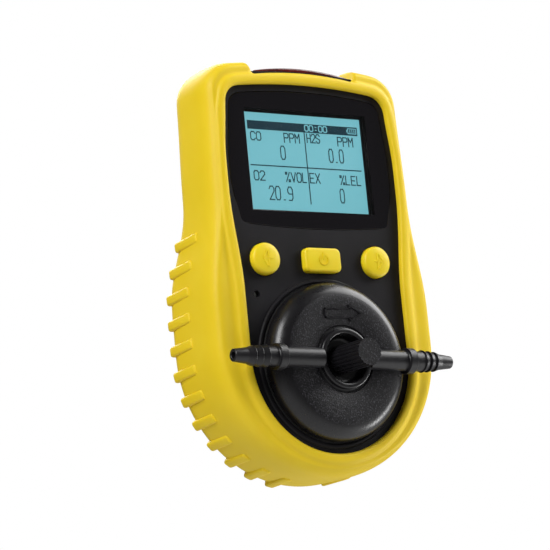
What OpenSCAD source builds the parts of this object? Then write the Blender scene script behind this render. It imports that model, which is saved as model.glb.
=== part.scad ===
// Portable four-gas detector: rubber boot over a two-part case, display, keys, four sensors,
// a calibration cap with hose barbs, and a sprung belt clip.
// Frame: X to the right, -Y out of the front panel, +Z up. The origin is the centre of the
// belt clip's seat on the back of the rear case. Modules draw with z = 0 at the centre of the
// sensors, and placed() moves them down to the frame.

/* [Body] */
// Radius of the rubber boot round the sensor end
belly_r = 41.5; // [41.5:0.5:52]
// Height of the belly circle's centre over the centre of the sensors
belly_z = 6; // [4:0.5:8]
// Half width of the boot at the display end
top_half_w = 38; // [36.5:0.5:46]
// Top of the boot over the centre of the sensors
top_z = 97; // [97:0.5:118]
// Corner radius at the top of the boot
top_corner_r = 11; // [9:0.5:13]
// Depth from the front panel to the clip seat
case_depth = 20; // [20:0.5:26]
// Depth of the belly behind the clip seat
belly_depth = 6.4; // [6.4:0.2:10]
// Height of the clip seat's centre over the centre of the sensors
clip_z = 58; // [58:1:66]
// Distance from the boot's skin to the case
boot_t = 4; // [3.6:0.2:5]
// Wall of the case
wall = 2; // [1.8:0.1:2.4]

/* [Front opening] */
// Bottom radius of the opening in the boot
opening_r = 29.8; // [28:0.2:31]
// Half width of the opening beside the display
opening_half_w = 32.2; // [31.6:0.1:32.4]
// Top of the opening over the centre of the sensors
opening_top_z = 88.6; // [88:0.2:89]
// How far the lip stands in front of the panel
lip_h = 2.2; // [1.6:0.2:3]

/* [Grip ridges] */
// Number of ridges from the key level round to the bottom centre, on each side
ridge_count = 12; // [8:1:14]
// Width of a ridge
ridge_w = 3.2; // [2:0.2:3.4]
// Length of a ridge from front to back
ridge_len = 12; // [8:0.5:14]
// How far a ridge stands out of the boot
ridge_h = 0.9; // [0.6:0.1:1.6]

/* [Display] */
// Half width of the display window
window_half_w = 30.3; // [29:0.1:30.8]
// Bottom of the display window over the centre of the sensors
window_bottom_z = 42.3; // [42:0.1:43.5]
// Thickness of the display window
window_t = 1.4; // [1:0.1:1.5]
// Height of the picture's centre over the centre of the sensors
lcd_z = 64; // [63.5:0.1:64.5]
// Sideways place of the picture's centre
lcd_x = 0; // [-0.4:0.1:0.4]
// Width of the lit picture
lcd_view_w = 44.5; // [40:0.5:46]
// Height of the lit picture
lcd_view_h = 31; // [28:0.5:32]
// Thickness of the LCD glass
lcd_t = 2.6; // [2:0.1:2.8]

/* [Keys] */
// Height of the keys over the centre of the sensors
key_z = 32.2; // [32:0.1:33]
// Distance of the round keys from the middle
key_x = 20.9; // [19:0.1:21]
// Radius of the round keys
key_r = 5; // [4:0.1:5]
// Width of the power key
power_w = 13.5; // [11:0.1:14]
// Height of the power key
power_h = 7.7; // [7:0.1:8.6]
// How far the keys stand out of the panel
key_proud = 2.1; // [1.6:0.1:3]
// Travel of the keys
key_travel = 0.8; // [0.4:0.1:0.8]
// Gap round a key
key_gap = 0.3; // [0.25:0.05:0.4]

/* [Sensors] */
// Radius of a sensor can
sensor_r = 10.1; // [9.8:0.05:10.1]
// Length of a sensor can
sensor_len = 16.2; // [15:0.1:16.2]
// Distance of a sensor's axis from the middle, along X and along Z
sensor_pitch = 10.6; // [10.4:0.05:10.8]
// Radius of the sensor cover
cover_r = 21.9; // [21:0.1:22]
// How far the sensor cover stands out of the panel
cover_proud = 3.4; // [2.8:0.1:3.5]

/* [Calibration cap] */
// Radius of the cap at its foot
cap_r = 24.8; // [23.8:0.1:25]
// Radius of the cap's flat face
cap_face_r = 19.4; // [18:0.1:20]
// Height of the cap over the panel
cap_h = 8; // [8:0.1:13]
// Radius of the collar round the thumb screw
collar_r = 9.4; // [9.4:0.1:11]
// Turn of the cross tube, clockwise seen from the front
cap_turn = 1.5; // [0:0.5:10]
// Radius of the cross tube
tube_r = 3.2; // [2.9:0.1:3.2]
// Distance from the middle to the tip of a hose barb
barb_tip_x = 40.5; // [40:0.5:48]
// Radius of the plain seat behind the hose barbs
hose_seat_r = 3.35; // [3:0.05:3.5]
// Radius of the thumb screw's knurled knob
knob_r = 4.3; // [3.6:0.1:4.6]
// Height of the knob's end over the panel
knob_top = 20.9; // [18:0.1:24]
// Radius of the thumb screw's shank
thumb_shank_r = 2; // [1.5:0.1:2.2]

/* [Belt clip] */
// Width of the clip plate
clip_w = 22; // [20:0.5:26]
// Length of the clip plate
clip_len = 35; // [34:0.5:36]
// Thickness of the clip's spring steel
clip_t = 1.2; // [1:0.1:1.4]
// Gap between the plate and the jaw, where a belt goes
clip_gap = 5.6; // [5:0.1:7]
// Radius of the hinge pin
clip_pin_r = 1; // [0.8:0.1:1.2]

/* [Fasteners] */
// Radius of a case screw's shank
case_screw_r = 1.2; // [1:0.05:1.3]
// Radius of a case screw's head
case_head_r = 2.3; // [2:0.1:2.4]
// Radius of the brass inserts
insert_r = 2; // [1.8:0.1:2.1]
// Radial clearance of a running or screwed fit
fit = 0.05; // [0.03:0.01:0.08]

/* [Hidden] */
$fn = 48;

yellow = "#ecd038";
charcoal = "#333036";
black = "#242226";
steel = "#b9bcc0";
brass = "#c9a552";
board_green = "#1e6b45";

panel_y = -case_depth;
panel_in_y = panel_y + wall;
split_y = panel_y / 2;
// The case steps in at its rear edge, under the rounded corner of the boot
rear_step = 2.5;
rear_step_len = 4;
// The belly's rear face ramps up to the clip seat between these heights
ramp_z0 = 28;
ramp_z1 = clip_z - clip_len / 2 - 0.5;
boot_gap = 0.15;
boot_back_t = 1.6;
boot_front_r = 10;
boot_rear_r = 7.5;

crown_r = 220;
// An outline is [bottom radius, bottom centre, upper half width, flare start, flare end, taper,
// taper start, top, corner radius, crown radius]
body_spec = [belly_r, belly_z, top_half_w, 18, 51.5, 0.9, 53, top_z, top_corner_r, crown_r];
opening_spec = [opening_r, opening_top_z - 87, opening_half_w, 22, 54, 1.5, 64,
    opening_top_z, 6.5, 200];

arc_steps = 16;
corner_steps = 6;
crown_steps = 4;

sensor_floor_y0 = panel_y + 2.5;
sensor_floor_y1 = panel_y + 4;
gasket_t = 0.8;
sensor_y0 = sensor_floor_y1 + gasket_t;
sensor_y1 = sensor_y0 + sensor_len;
socket_h = 0.6;
sensor_board_y = sensor_y1 + socket_h;
board_t = 1.4;
cover_screw_x = 19;
inlet_r = 6;
sensor_places = [[-1, 1], [1, 1], [-1, -1], [1, -1]];

lcd_glass_w = 50;
lcd_glass_h = 35;
lcd_y0 = panel_in_y + 0.2;
backlight_t = 2;
main_board_y = lcd_y0 + lcd_t + backlight_t + 0.9;
main_board_back = main_board_y + board_t;
main_board_w = 59;
main_board_z0 = key_z - 5.4;
main_board_z1 = 84;
switch_h = 1.8;

cap_y = panel_y - cap_h;
cap_wall = 1.8;
bowl_floor_y = panel_y - cover_proud - 1.6;
bowl_r = collar_r - 1.7;
collar_top = cap_h + 1.3;
tube_y = cap_y + 0.2;
groove_r = collar_r + 1.1;
cap_gasket_t = 0.8;

pin_y = clip_t + 3;
pin_z = clip_z + 10;
jaw_y = clip_t + clip_gap;
ear_x = clip_w / 2 - 1.4;
cheek_x = ear_x - clip_t - 0.4;

boss_r = 3;
upper_screw = [top_half_w - top_corner_r - 0.1, top_z - 11.4];
lower_screw = [belly_r - 13, belly_z + 6];
case_screw_places = [for (s = [-1, 1]) for (p = [upper_screw, lower_screw]) [s * p[0], p[1]]];
insert_y0 = split_y - 5.2;
insert_len = 5;

socket_z = key_z + 8.8;
socket_y = main_board_y - 1.6;
socket_wall_x = half_w(body_spec, socket_z) - boot_t;
buzzer_x = -24.7;
buzzer_z = 21.4;
buzzer_r = 4.8;
motor_x = -26.8;
motor_y = -8;
motor_r = 3.2;
lens_half_w = 18;
lens_top_z = top_z - 2.6;
lens_crown_r = 95;

function clamp01(t) = max(0, min(1, t));
function smooth(a, b, z) = let (t = clamp01((z - a) / (b - a))) t * t * (3 - 2 * t);
function mix(a, b, t) = a + (b - a) * t;

// Half width of an outline at height z, above its bottom circle
function half_w(s, z) = s[0] + (s[2] - s[0]) * smooth(s[3], s[4], z)
    - s[5] * smooth(s[6], s[7] - s[8], z);
function corner_x(s) = s[2] - s[5] - s[8];
function corner_z(s) = s[7] - s[9] + sqrt(pow(s[9] - s[8], 2) - pow(corner_x(s), 2));
function crown_angle(s) = asin(corner_x(s) / (s[9] - s[8]));

// Heights of an outline's side points, with the ends of the ramp among them
function side_heights(s) = concat(
    [for (k = [1 : 4]) mix(s[1], ramp_z0, k / 4)],
    [for (k = [1 : 3]) mix(ramp_z0, ramp_z1, k / 3)],
    [for (k = [1 : 9]) mix(ramp_z1, corner_z(s), k / 9)]);

// Right half of an outline, from the bottom up to the top, moved outwards by o
function right_half(s, o) = concat(
    [for (k = [0 : arc_steps]) let (a = -90 + 90 * k / arc_steps)
        [(s[0] + o) * cos(a), s[1] + (s[0] + o) * sin(a)]],
    [for (z = side_heights(s)) [half_w(s, z) + o, z]],
    [for (k = [1 : corner_steps]) let (a = (90 - crown_angle(s)) * k / corner_steps)
        [corner_x(s) + (s[8] + o) * cos(a), corner_z(s) + (s[8] + o) * sin(a)]],
    [for (k = [1 : crown_steps]) let (a = crown_angle(s) * (1 - k / crown_steps))
        [(s[9] + o) * sin(a), s[7] - s[9] + (s[9] + o) * cos(a)]]);
function outline(s, o) = let (r = right_half(s, o), n = len(r))
    concat(r, [for (k = [n - 2 : -1 : 1]) [-r[k][0], r[k][1]]]);

// Depth of the case's rear face at height z
function case_back(z) = belly_depth * (1 - clamp01((z - ramp_z0) / (ramp_z1 - ramp_z0)));
// Depth of the boot's rear face at height z
function boot_back(z) = boot_back_t + belly_depth * (1 - smooth(ramp_z0 - 4, ramp_z1 + 12, z));

module placed() {
    translate([0, 0, -clip_z]) children();
}

// Extrudes an X-Z drawing from y0 back to y1
module along_y(y0, y1) {
    translate([0, y1, 0]) rotate([90, 0, 0]) linear_extrude(y1 - y0) children();
}

// Extrudes a Y-Z drawing across X, centred
module across_x(w) {
    rotate([90, 0, 90]) linear_extrude(w, center = true) children();
}

// Turns a radius-height drawing about the Y axis, with the height towards the front
module turned_y(x, z, y0) {
    translate([x, y0, z]) rotate([90, 0, 0]) rotate_extrude($fn = 72) children();
}

module disc_y(x, z, r, y0, y1) {
    translate([x, y1, z]) rotate([90, 0, 0]) cylinder(r = r, h = y1 - y0);
}

module rod_x(y, z, r, x0, x1) {
    translate([x0, y, z]) rotate([0, 90, 0]) cylinder(r = r, h = x1 - x0);
}

module block(x0, x1, y0, y1, z0, z1) {
    translate([x0, y0, z0]) cube([x1 - x0, y1 - y0, z1 - z0]);
}

module round_rect(w, h, r) {
    union() {
        square([w - 2 * r, h], center = true);
        square([w, h - 2 * r], center = true);
        for (x = [-1, 1], z = [-1, 1]) translate([x * (w / 2 - r), z * (h / 2 - r)]) circle(r);
    }
}

module body_2d(o) {
    polygon(outline(body_spec, o));
}

// Everything in front of the case's rear face, moved back by o
module behind_limit(o) {
    across_x(140) polygon([[-60, -80], [belly_depth + o, -80], [belly_depth + o, ramp_z0],
        [o, ramp_z1], [o, 160], [-60, 160]]);
}

// ---- Boot ----

// One point of the boot's section: j counts round the section from the opening's edge, over the
// lip, round the side, and back along the inside
function lip_point(k, a, b, t, y) = [mix(a[k][0], b[k][0], t), y, mix(a[k][1], b[k][1], t)];
boot_lip = [for (o = [0, 0, 0.9, 2.2, 3]) outline(opening_spec, o)];
boot_lip_y = [panel_y - 0.1, panel_y - lip_h + 0.9, panel_y - lip_h, panel_y - lip_h,
    panel_y - lip_h + 0.7];
boot_shoulder = outline(body_spec, -3.2);
boot_side_o = [-3.2, -1.5, -0.5, 0];
boot_side_y = [panel_y - 0.1, panel_y + 1.8, panel_y + 4, panel_y + 7];
boot_sides = [for (o = boot_side_o) outline(body_spec, o)];
boot_rear_a = [0, 22.5, 45, 67.5, 90];
boot_rears = [for (a = boot_rear_a) outline(body_spec, -boot_rear_r * (1 - cos(a)))];
boot_back_o = outline(body_spec, -boot_rear_r - 1);
boot_step_o = outline(body_spec, -boot_t - rear_step + boot_gap);
boot_in_o = outline(body_spec, -boot_t + boot_gap);
boot_n = len(boot_in_o);

function lift(list, k, y) = [list[k][0], y, list[k][1]];
function boot_section(k) = concat(
    [for (j = [0 : 4]) lift(boot_lip[j], k, boot_lip_y[j])],
    [lip_point(k, boot_lip[4], boot_shoulder, 0.25, panel_y - lip_h + 1.3),
     lip_point(k, boot_lip[4], boot_shoulder, 0.6, panel_y - lip_h + 0.9)],
    [for (j = [0 : 3]) lift(boot_sides[j], k, boot_side_y[j])],
    [for (j = [0 : 4]) let (z = boot_rears[j][k][1])
        lift(boot_rears[j], k, boot_back(z) - boot_rear_r * (1 - sin(boot_rear_a[j])))],
    [lift(boot_back_o, k, boot_back(boot_back_o[k][1])),
     lift(boot_back_o, k, case_back(boot_back_o[k][1]) + boot_gap),
     lift(boot_step_o, k, case_back(boot_step_o[k][1]) + boot_gap),
     lift(boot_step_o, k, case_back(boot_step_o[k][1]) - rear_step_len + boot_gap),
     lift(boot_in_o, k, case_back(boot_in_o[k][1]) - rear_step_len + boot_gap),
     lift(boot_in_o, k, panel_y - 0.1)]);

module boot_skin() {
    sections = [for (k = [0 : boot_n - 1]) boot_section(k)];
    m = len(sections[0]);
    polyhedron(points = [for (s = sections) for (p = s) p],
        faces = [for (k = [0 : boot_n - 1]) for (j = [0 : m - 1])
            let (k2 = (k + 1) % boot_n, j2 = (j + 1) % m)
            for (f = [[k * m + j, k2 * m + j, k2 * m + j2], [k * m + j, k2 * m + j2, k * m + j2]])
            f], convexity = 10);
}

// Ridge k runs front to back across the side wall. Its place follows the body outline: from the
// key level down the side, then round the belly
ridge_pitch = 8;
ridge_first = 11.1;
ridge_slant = 4;
function ridge_place(k) = let (run = ridge_pitch * (ridge_count - 1 - k) + ridge_first,
    quarter = belly_r * PI / 2)
    run <= quarter
    ? let (a = -90 + run / belly_r * 180 / PI)
        [belly_r * cos(a), belly_z + belly_r * sin(a), a]
    : let (z = belly_z + run - quarter) [half_w(body_spec, z), z, 0];

// The rear end of a ridge starts on the rounded rear corner, where the boot has dropped away
ridge_rear = 0.62;
ridge_drop = boot_rear_r * (1 - cos(asin(1 - ridge_rear)));
module ridge(k) {
    p = ridge_place(k);
    translate([p[0], boot_back(p[1]) - boot_rear_r * ridge_rear, p[1]])
        rotate([0, -p[2], 0]) rotate([-ridge_slant, 0, 0]) hull()
            for (y = [-ridge_len, 0], x = [-1.4, ridge_h - ridge_w / 2])
                translate([x - (y == 0 ? ridge_drop : 0), y, 0]) sphere(d = ridge_w, $fn = 14);
}

module lens_notch() {
    cut = [for (k = [-6 : 6]) let (x = k / 6 * (lens_half_w + 0.4))
        [x, opening_top_z + 3.8 - x * x / 250]];
    along_y(panel_y - 10, -3.5) polygon(concat(cut,
        [[lens_half_w + 3.2, top_z + 2], [-lens_half_w - 3.2, top_z + 2]]));
    block(-lens_half_w - 0.3, lens_half_w + 0.3, panel_y + 0.3, -3.5, top_z - 8, top_z + 1);
}

module rubber_boot() {
    color(yellow) difference() {
        union() {
            boot_skin();
            for (k = [0 : ridge_count - 1]) {
                ridge(k);
                mirror([1, 0, 0]) ridge(k);
            }
        }
        lens_notch();
        translate([socket_wall_x, socket_y, socket_z]) rotate([90, 0, 90])
            translate([0, 0, -3]) linear_extrude(12) round_rect(plug_d + 0.6, plug_w + 0.6, 2);
    }
}

// ---- Case ----

module front_case() {
    color(charcoal) difference() {
        union() {
            difference() {
                along_y(panel_y, split_y) body_2d(-boot_t);
                along_y(panel_in_y, split_y + 1) body_2d(-boot_t - wall);
            }
            intersection() {
                along_y(panel_in_y - 0.5, split_y) body_2d(-boot_t - wall / 2);
                for (p = case_screw_places) disc_y(p[0], p[1], boss_r, panel_in_y - 0.5, split_y);
            }
            disc_y(0, 0, cover_r + 2.6, panel_in_y - 0.5, sensor_floor_y1);
            for (a = [0 : 90 : 270])
                disc_y(cover_screw_x * cos(a), cover_screw_x * sin(a), 2.4,
                    sensor_floor_y0, sensor_floor_y1 + 3);
            turned_y(0, 0, panel_y + 0.5) polygon([[25.2, 0], [26.6, 0], [26.6, 0.8],
                [26.2, 1.1], [25.6, 1.1], [25.2, 0.8]]);
        }
        along_y(panel_y - 1, panel_y + window_t + 0.1) window_2d(0.1);
        along_y(panel_y, panel_in_y + 1) translate([lcd_x, lcd_z])
            square([lcd_view_w + 2, lcd_view_h + 2], center = true);
        for (x = [-key_x, key_x]) disc_y(x, key_z, key_r + key_gap, panel_y - 1, panel_in_y + 1);
        along_y(panel_y - 1, panel_in_y + 1) translate([0, key_z])
            round_rect(power_w + 2 * key_gap, power_h + 2 * key_gap, 1.8 + key_gap);
        disc_y(0, 0, cover_r + 0.2, panel_y - 1, sensor_floor_y0);
        for (p = sensor_places)
            disc_y(p[0] * sensor_pitch, p[1] * sensor_pitch, inlet_r + 1,
                panel_y, sensor_floor_y1 + 1);
        for (a = [0 : 90 : 270])
            disc_y(cover_screw_x * cos(a), cover_screw_x * sin(a), 0.85,
                sensor_floor_y0 - 1, sensor_floor_y1 + 2.6);
        for (p = case_screw_places)
            disc_y(p[0], p[1], insert_r + 0.02, insert_y0 - 0.1, split_y + 1);
        disc_y(buzzer_x, buzzer_z, 1.1, panel_y - 1, panel_in_y + 1);
        along_y(split_y - 0.6, split_y + 1) seal_2d();
        block(-lens_half_w + 2, lens_half_w - 2, panel_in_y + 0.3, split_y + 1,
            top_z - 12, top_z);
        translate([socket_wall_x, socket_y, socket_z]) rotate([90, 0, 90])
            translate([0, 0, -6]) linear_extrude(12) round_rect(socket_d + 0.6, socket_w + 0.6, 1.4);
    }
}

module seal_2d() {
    difference() {
        body_2d(-boot_t - 0.6);
        body_2d(-boot_t - 1.4);
    }
}

module rear_case() {
    color(black) difference() {
        union() {
            difference() {
                union() {
                    intersection() {
                        along_y(split_y, belly_depth) body_2d(-boot_t);
                        behind_limit(-rear_step_len);
                    }
                    intersection() {
                        along_y(split_y, belly_depth + 1) body_2d(-boot_t - rear_step);
                        behind_limit(0);
                    }
                }
                intersection() {
                    along_y(split_y - 1, belly_depth) body_2d(-boot_t - wall);
                    behind_limit(-rear_step_len - wall);
                }
                intersection() {
                    along_y(split_y - 1, belly_depth + 1) body_2d(-boot_t - rear_step - wall);
                    behind_limit(-wall);
                }
            }
            case_bosses(boot_t, rear_step_len);
            case_bosses(boot_t + rear_step, 0);
            block(-10, 10, -3.2, -wall / 2, clip_z - 15, clip_z + 6);
            motor_cradle();
        }
        for (p = case_screw_places) {
            y1 = case_back(p[1]);
            disc_y(p[0], p[1], case_screw_r + 0.2, split_y - 1, y1 + 1);
            disc_y(p[0], p[1], case_head_r + 0.2, y1 - 1.7, y1 + 1);
        }
        for (p = clip_screw_places) disc_y(p[0], p[1], clip_screw_r + 0.02, -4, 1);
        block(-lens_half_w + 2, lens_half_w - 2, split_y - 1, -5.6, top_z - 12, top_z);
    }
}

// Screw bosses, kept inside the wall that is in by step and forward by back
module case_bosses(step, back) {
    intersection() {
        along_y(split_y, belly_depth) body_2d(-step - wall / 2);
        behind_limit(-back - wall / 2);
        for (p = case_screw_places) disc_y(p[0], p[1], boss_r, split_y, belly_depth);
    }
}

module motor_cradle() {
    difference() {
        block(motor_x - motor_r, motor_x + motor_r, motor_y, belly_depth - wall / 2, -9, -1);
        translate([motor_x, motor_y, -20]) cylinder(r = motor_r + 0.05, h = 40);
    }
}

module case_seal() {
    color("dimgray") difference() {
        along_y(split_y - 0.6, split_y) seal_2d();
        block(-lens_half_w + 1.8, lens_half_w - 1.8, split_y - 1, split_y + 1, top_z - 12, top_z);
    }
}

module case_screws() {
    color(steel) for (p = case_screw_places) {
        y1 = case_back(p[1]);
        difference() {
            union() {
                disc_y(p[0], p[1], case_head_r, y1 - 1.6, y1 - 0.1);
                disc_y(p[0], p[1], case_screw_r, split_y - 4, y1 - 1.6);
            }
            disc_y(p[0], p[1], 0.9, y1 - 1, y1, $fn = 6);
        }
    }
}

module case_inserts() {
    color(brass) for (p = case_screw_places) difference() {
        disc_y(p[0], p[1], insert_r, insert_y0, insert_y0 + insert_len);
        disc_y(p[0], p[1], case_screw_r + fit, insert_y0 - 1, insert_y0 + insert_len + 1);
    }
}

// ---- Display ----

// The window follows the opening at its sides and top, and has its own shallow arc below
window_top_z = opening_top_z - 2.1;
window_r = 5;
window_low_r = 4;
window_low_half_w = window_half_w - 2.2;
function window_half(o) = concat(
    [for (k = [0 : 5]) let (x = k / 5 * (window_low_half_w - window_low_r))
        [x, window_bottom_z - o + x * x / 600]],
    [for (k = [1 : 5]) let (a = -90 + 18 * k)
        [window_low_half_w - window_low_r + (window_low_r + o) * cos(a),
         window_bottom_z + 1 + window_low_r + (window_low_r + o) * sin(a)]],
    [for (k = [1 : 7]) let (z = mix(window_bottom_z + 5, window_top_z - 2.5 - window_r, k / 7))
        [window_low_half_w + o + 2.2 * smooth(43, 58, z) - 1.5 * smooth(64, 82, z), z]],
    [for (k = [1 : 5]) let (a = 16 * k)
        [window_half_w - 1.5 - window_r + (window_r + o) * cos(a),
         window_top_z - 1.5 - window_r + (window_r + o) * sin(a)]],
    [for (k = [1 : 5]) let (x = (window_half_w - 1.5 - window_r) * (1 - k / 5))
        [x, window_top_z + o - x * x / 400]]);
module window_2d(o) {
    r = window_half(o);
    n = len(r);
    polygon(concat(r, [for (k = [n - 2 : -1 : 1]) [-r[k][0], r[k][1]]]));
}

module display_window() {
    color("#121015") along_y(panel_y, panel_y + window_t) window_2d(-0.1);
}

module window_tape() {
    color("black") along_y(panel_y + window_t, panel_y + window_t + 0.1) difference() {
        window_2d(-0.6);
        translate([lcd_x, lcd_z]) square([lcd_view_w + 3, lcd_view_h + 3], center = true);
    }
}

module lcd_plate(w, h, y0, y1) {
    along_y(y0, y1) translate([lcd_x, lcd_z]) square([w, h], center = true);
}

module lcd_glass() {
    color("#74bdc8") lcd_plate(lcd_glass_w, lcd_glass_h, lcd_y0, lcd_y0 + lcd_t);
}

module lcd_backlight() {
    color("white") lcd_plate(lcd_glass_w, lcd_glass_h, lcd_y0 + lcd_t + 0.05,
        lcd_y0 + lcd_t + backlight_t);
}

module lcd_holder() {
    color("ivory") difference() {
        lcd_plate(lcd_glass_w + 2, lcd_glass_h + 2, lcd_y0 + 0.4, main_board_y - 0.05);
        lcd_plate(lcd_glass_w + 0.2, lcd_glass_h + 0.2, lcd_y0, lcd_y0 + lcd_t + backlight_t + 0.05);
        lcd_plate(lcd_glass_w - 8, lcd_glass_h - 8, lcd_y0, main_board_y + 1);
    }
}

module lcd_flex() {
    z = lcd_z - lcd_glass_h / 2 - 1.2;
    y0 = lcd_y0 + 0.8;
    color("#c77f2a") translate([lcd_x, 0, 0]) across_x(16) polygon([[y0, z], [main_board_y - 0.02, z],
        [main_board_y - 0.02, z - 4], [main_board_y - 0.3, z - 4], [main_board_y - 0.3, z - 0.3],
        [y0, z - 0.3]]);
}

// ---- Keys ----

key_flange_y0 = panel_in_y + 0.3;
key_flange_y1 = panel_in_y + 1.2;
key_end_y = main_board_y - switch_h - key_travel - 0.1;

module key_stem(x) {
    disc_y(x, key_z, 1.5, key_flange_y1 - 0.1, key_end_y);
}

module round_key(x) {
    turned_y(x, key_z, panel_in_y + 0.4) polygon([[0, 0], [key_r, 0],
        [key_r, wall + key_proud - 0.5], [key_r - 0.8, wall + key_proud + 0.2],
        [0, wall + key_proud + 0.4]]);
    disc_y(x, key_z, key_r + 1, key_flange_y0, key_flange_y1);
    key_stem(x);
}

module left_key() {
    color(yellow) round_key(-key_x);
}

module right_key() {
    color(yellow) round_key(key_x);
}

module power_key() {
    color(yellow) union() {
        along_y(panel_y - key_proud + 0.6, panel_in_y + 0.4) translate([0, key_z])
            round_rect(power_w, power_h, 1.8);
        along_y(panel_y - key_proud, panel_y - key_proud + 0.7) translate([0, key_z])
            round_rect(power_w - 1.2, power_h - 1.2, 1.4);
        along_y(key_flange_y0, key_flange_y1) translate([0, key_z])
            round_rect(power_w + 2, power_h + 2, 2.4);
        key_stem(0);
    }
}

module keypad_mat() {
    color(yellow) along_y(panel_in_y + 0.1, panel_in_y + 1.1) difference() {
        translate([0, key_z]) round_rect(2 * key_x + 2 * key_r + 6, 2 * key_r + 4.4, 3);
        for (x = [-key_x, key_x]) translate([x, key_z]) circle(key_r + 1 + key_gap);
        translate([0, key_z]) round_rect(power_w + 2 + 2 * key_gap, power_h + 2 + 2 * key_gap, 2.6);
        translate([buzzer_x, buzzer_z]) circle(buzzer_r + 0.2);
    }
}

module key_switches() {
    color(steel) for (x = [-key_x, 0, key_x]) {
        block(x - 3, x + 3, main_board_y - switch_h + 0.5, main_board_y, key_z - 3, key_z + 3);
        disc_y(x, key_z, 1.7, main_board_y - switch_h, main_board_y - 0.2);
    }
}

// ---- Alarm ----

module alarm_lens() {
    low = [for (k = [-8 : 8]) let (x = k / 8 * (lens_half_w - 0.4))
        [x, top_z - boot_t - crown_r + sqrt(crown_r * crown_r - x * x) + 0.05]];
    high = [for (k = [8 : -1 : -8]) let (x = k / 8 * lens_half_w)
        [x, lens_top_z - lens_crown_r + sqrt(lens_crown_r * lens_crown_r - x * x)]];
    color("#b81c0c") union() {
        along_y(panel_y + 0.5, -6) polygon(concat(low, high));
        block(-lens_half_w + 2.2, lens_half_w - 2.2, panel_in_y + 0.5, -6, top_z - 8,
            top_z - boot_t - 0.5);
    }
}

module alarm_leds() {
    color("mistyrose") for (x = [-11, 0, 11])
        block(x - 1.6, x + 1.6, main_board_y - 1.5, main_board_y, main_board_z1 - 1.3,
            main_board_z1);
}

// ---- Boards ----

board_screw_places = [[-27.6, key_z + 8], [27.6, key_z - 2], [-27.6, 68], [27.6, 68]];

module main_board() {
    color(board_green) along_y(main_board_y, main_board_back) difference() {
        translate([-main_board_w / 2, main_board_z0])
            square([main_board_w, main_board_z1 - main_board_z0]);
        for (s = [-1, 1]) translate([s * main_board_w / 2, main_board_z1])
            square([16, 6], center = true);
        for (p = board_screw_places) translate(p) circle(1.1, $fn = 24);
    }
}

module board_chips() {
    color(black) for (c = [[-14, 62, 5], [8, 66, 3.5], [14, 50, 3], [-12, 46, 3]])
        block(c[0] - c[2], c[0] + c[2], main_board_back, main_board_back + 0.9,
            c[1] - c[2], c[1] + c[2]);
    color("ivory") block(25.7, 29, main_board_back, main_board_back + 3, 36, 41);
}

module board_screws() {
    color(steel) for (p = board_screw_places) {
        disc_y(p[0], p[1], 1, main_board_y - 1, main_board_back);
        disc_y(p[0], p[1], 1.8, main_board_back, main_board_back + 1);
    }
}

module board_flex() {
    y0 = main_board_back;
    y1 = sensor_board_y + board_t;
    z0 = main_board_z0 - 1.4;
    color("#c77f2a") translate([-4, 0, 0]) across_x(9) polygon([[y0, main_board_z0 + 2],
        [y0 + 0.3, main_board_z0 + 2], [y0 + 0.3, z0], [y1 + 0.3, z0], [y1 + 0.3, 19],
        [y1, 19], [y1, z0 - 0.3], [y0, z0 - 0.3]]);
}

// ---- Sensors ----

sensor_pins = [[-6, 0], [4, 5], [4, -5]];

module sensor_board() {
    color(board_green) along_y(sensor_board_y, sensor_board_y + board_t) difference() {
        circle(sensor_pitch + sensor_r + 2.6);
        for (s = sensor_places) for (q = sensor_pins)
            translate([s[0] * sensor_pitch + q[0], s[1] * sensor_pitch + q[1]])
                circle(0.85, $fn = 20);
    }
}

module sensor_sockets() {
    color(brass) for (s = sensor_places) for (q = sensor_pins) difference() {
        disc_y(s[0] * sensor_pitch + q[0], s[1] * sensor_pitch + q[1], 1.3,
            sensor_y1 + 0.02, sensor_board_y, $fn = 20);
        disc_y(s[0] * sensor_pitch + q[0], s[1] * sensor_pitch + q[1], 0.85,
            sensor_y1 - 1, sensor_board_y + 1, $fn = 20);
    }
}

// A sensor is a can with a stepped inlet in front and three pins behind
module sensor(i, tone, inlet) {
    x = sensor_places[i][0] * sensor_pitch;
    z = sensor_places[i][1] * sensor_pitch;
    color(tone) difference() {
        union() {
            disc_y(x, z, sensor_r - 0.4, sensor_y0, sensor_y1);
            disc_y(x, z, sensor_r, sensor_y0 + 1, sensor_y1 - 2);
            for (q = sensor_pins)
                disc_y(x + q[0], z + q[1], 0.75, sensor_y1 - 0.5, sensor_board_y + board_t + 0.6);
        }
        disc_y(x, z, inlet, sensor_y0 - 1, sensor_y0 + 1.5);
    }
}

module co_sensor() {
    sensor(0, "#d8d4c8", 2.2);
}

module h2s_sensor() {
    sensor(1, "#c9ccb8", 2.2);
}

module oxygen_sensor() {
    sensor(2, "#dcdcdc", 1.2);
}

module combustible_sensor() {
    sensor(3, "#8e9094", 5);
}

module sensor_gasket() {
    color("gray") along_y(sensor_floor_y1 + 0.02, sensor_y0 - 0.02) difference() {
        circle(cover_r + 2.2);
        for (p = sensor_places) translate(p * sensor_pitch) circle(inlet_r + 1);
        for (a = [0 : 90 : 270])
            translate([cover_screw_x * cos(a), cover_screw_x * sin(a)]) circle(2.6);
    }
}

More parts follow.
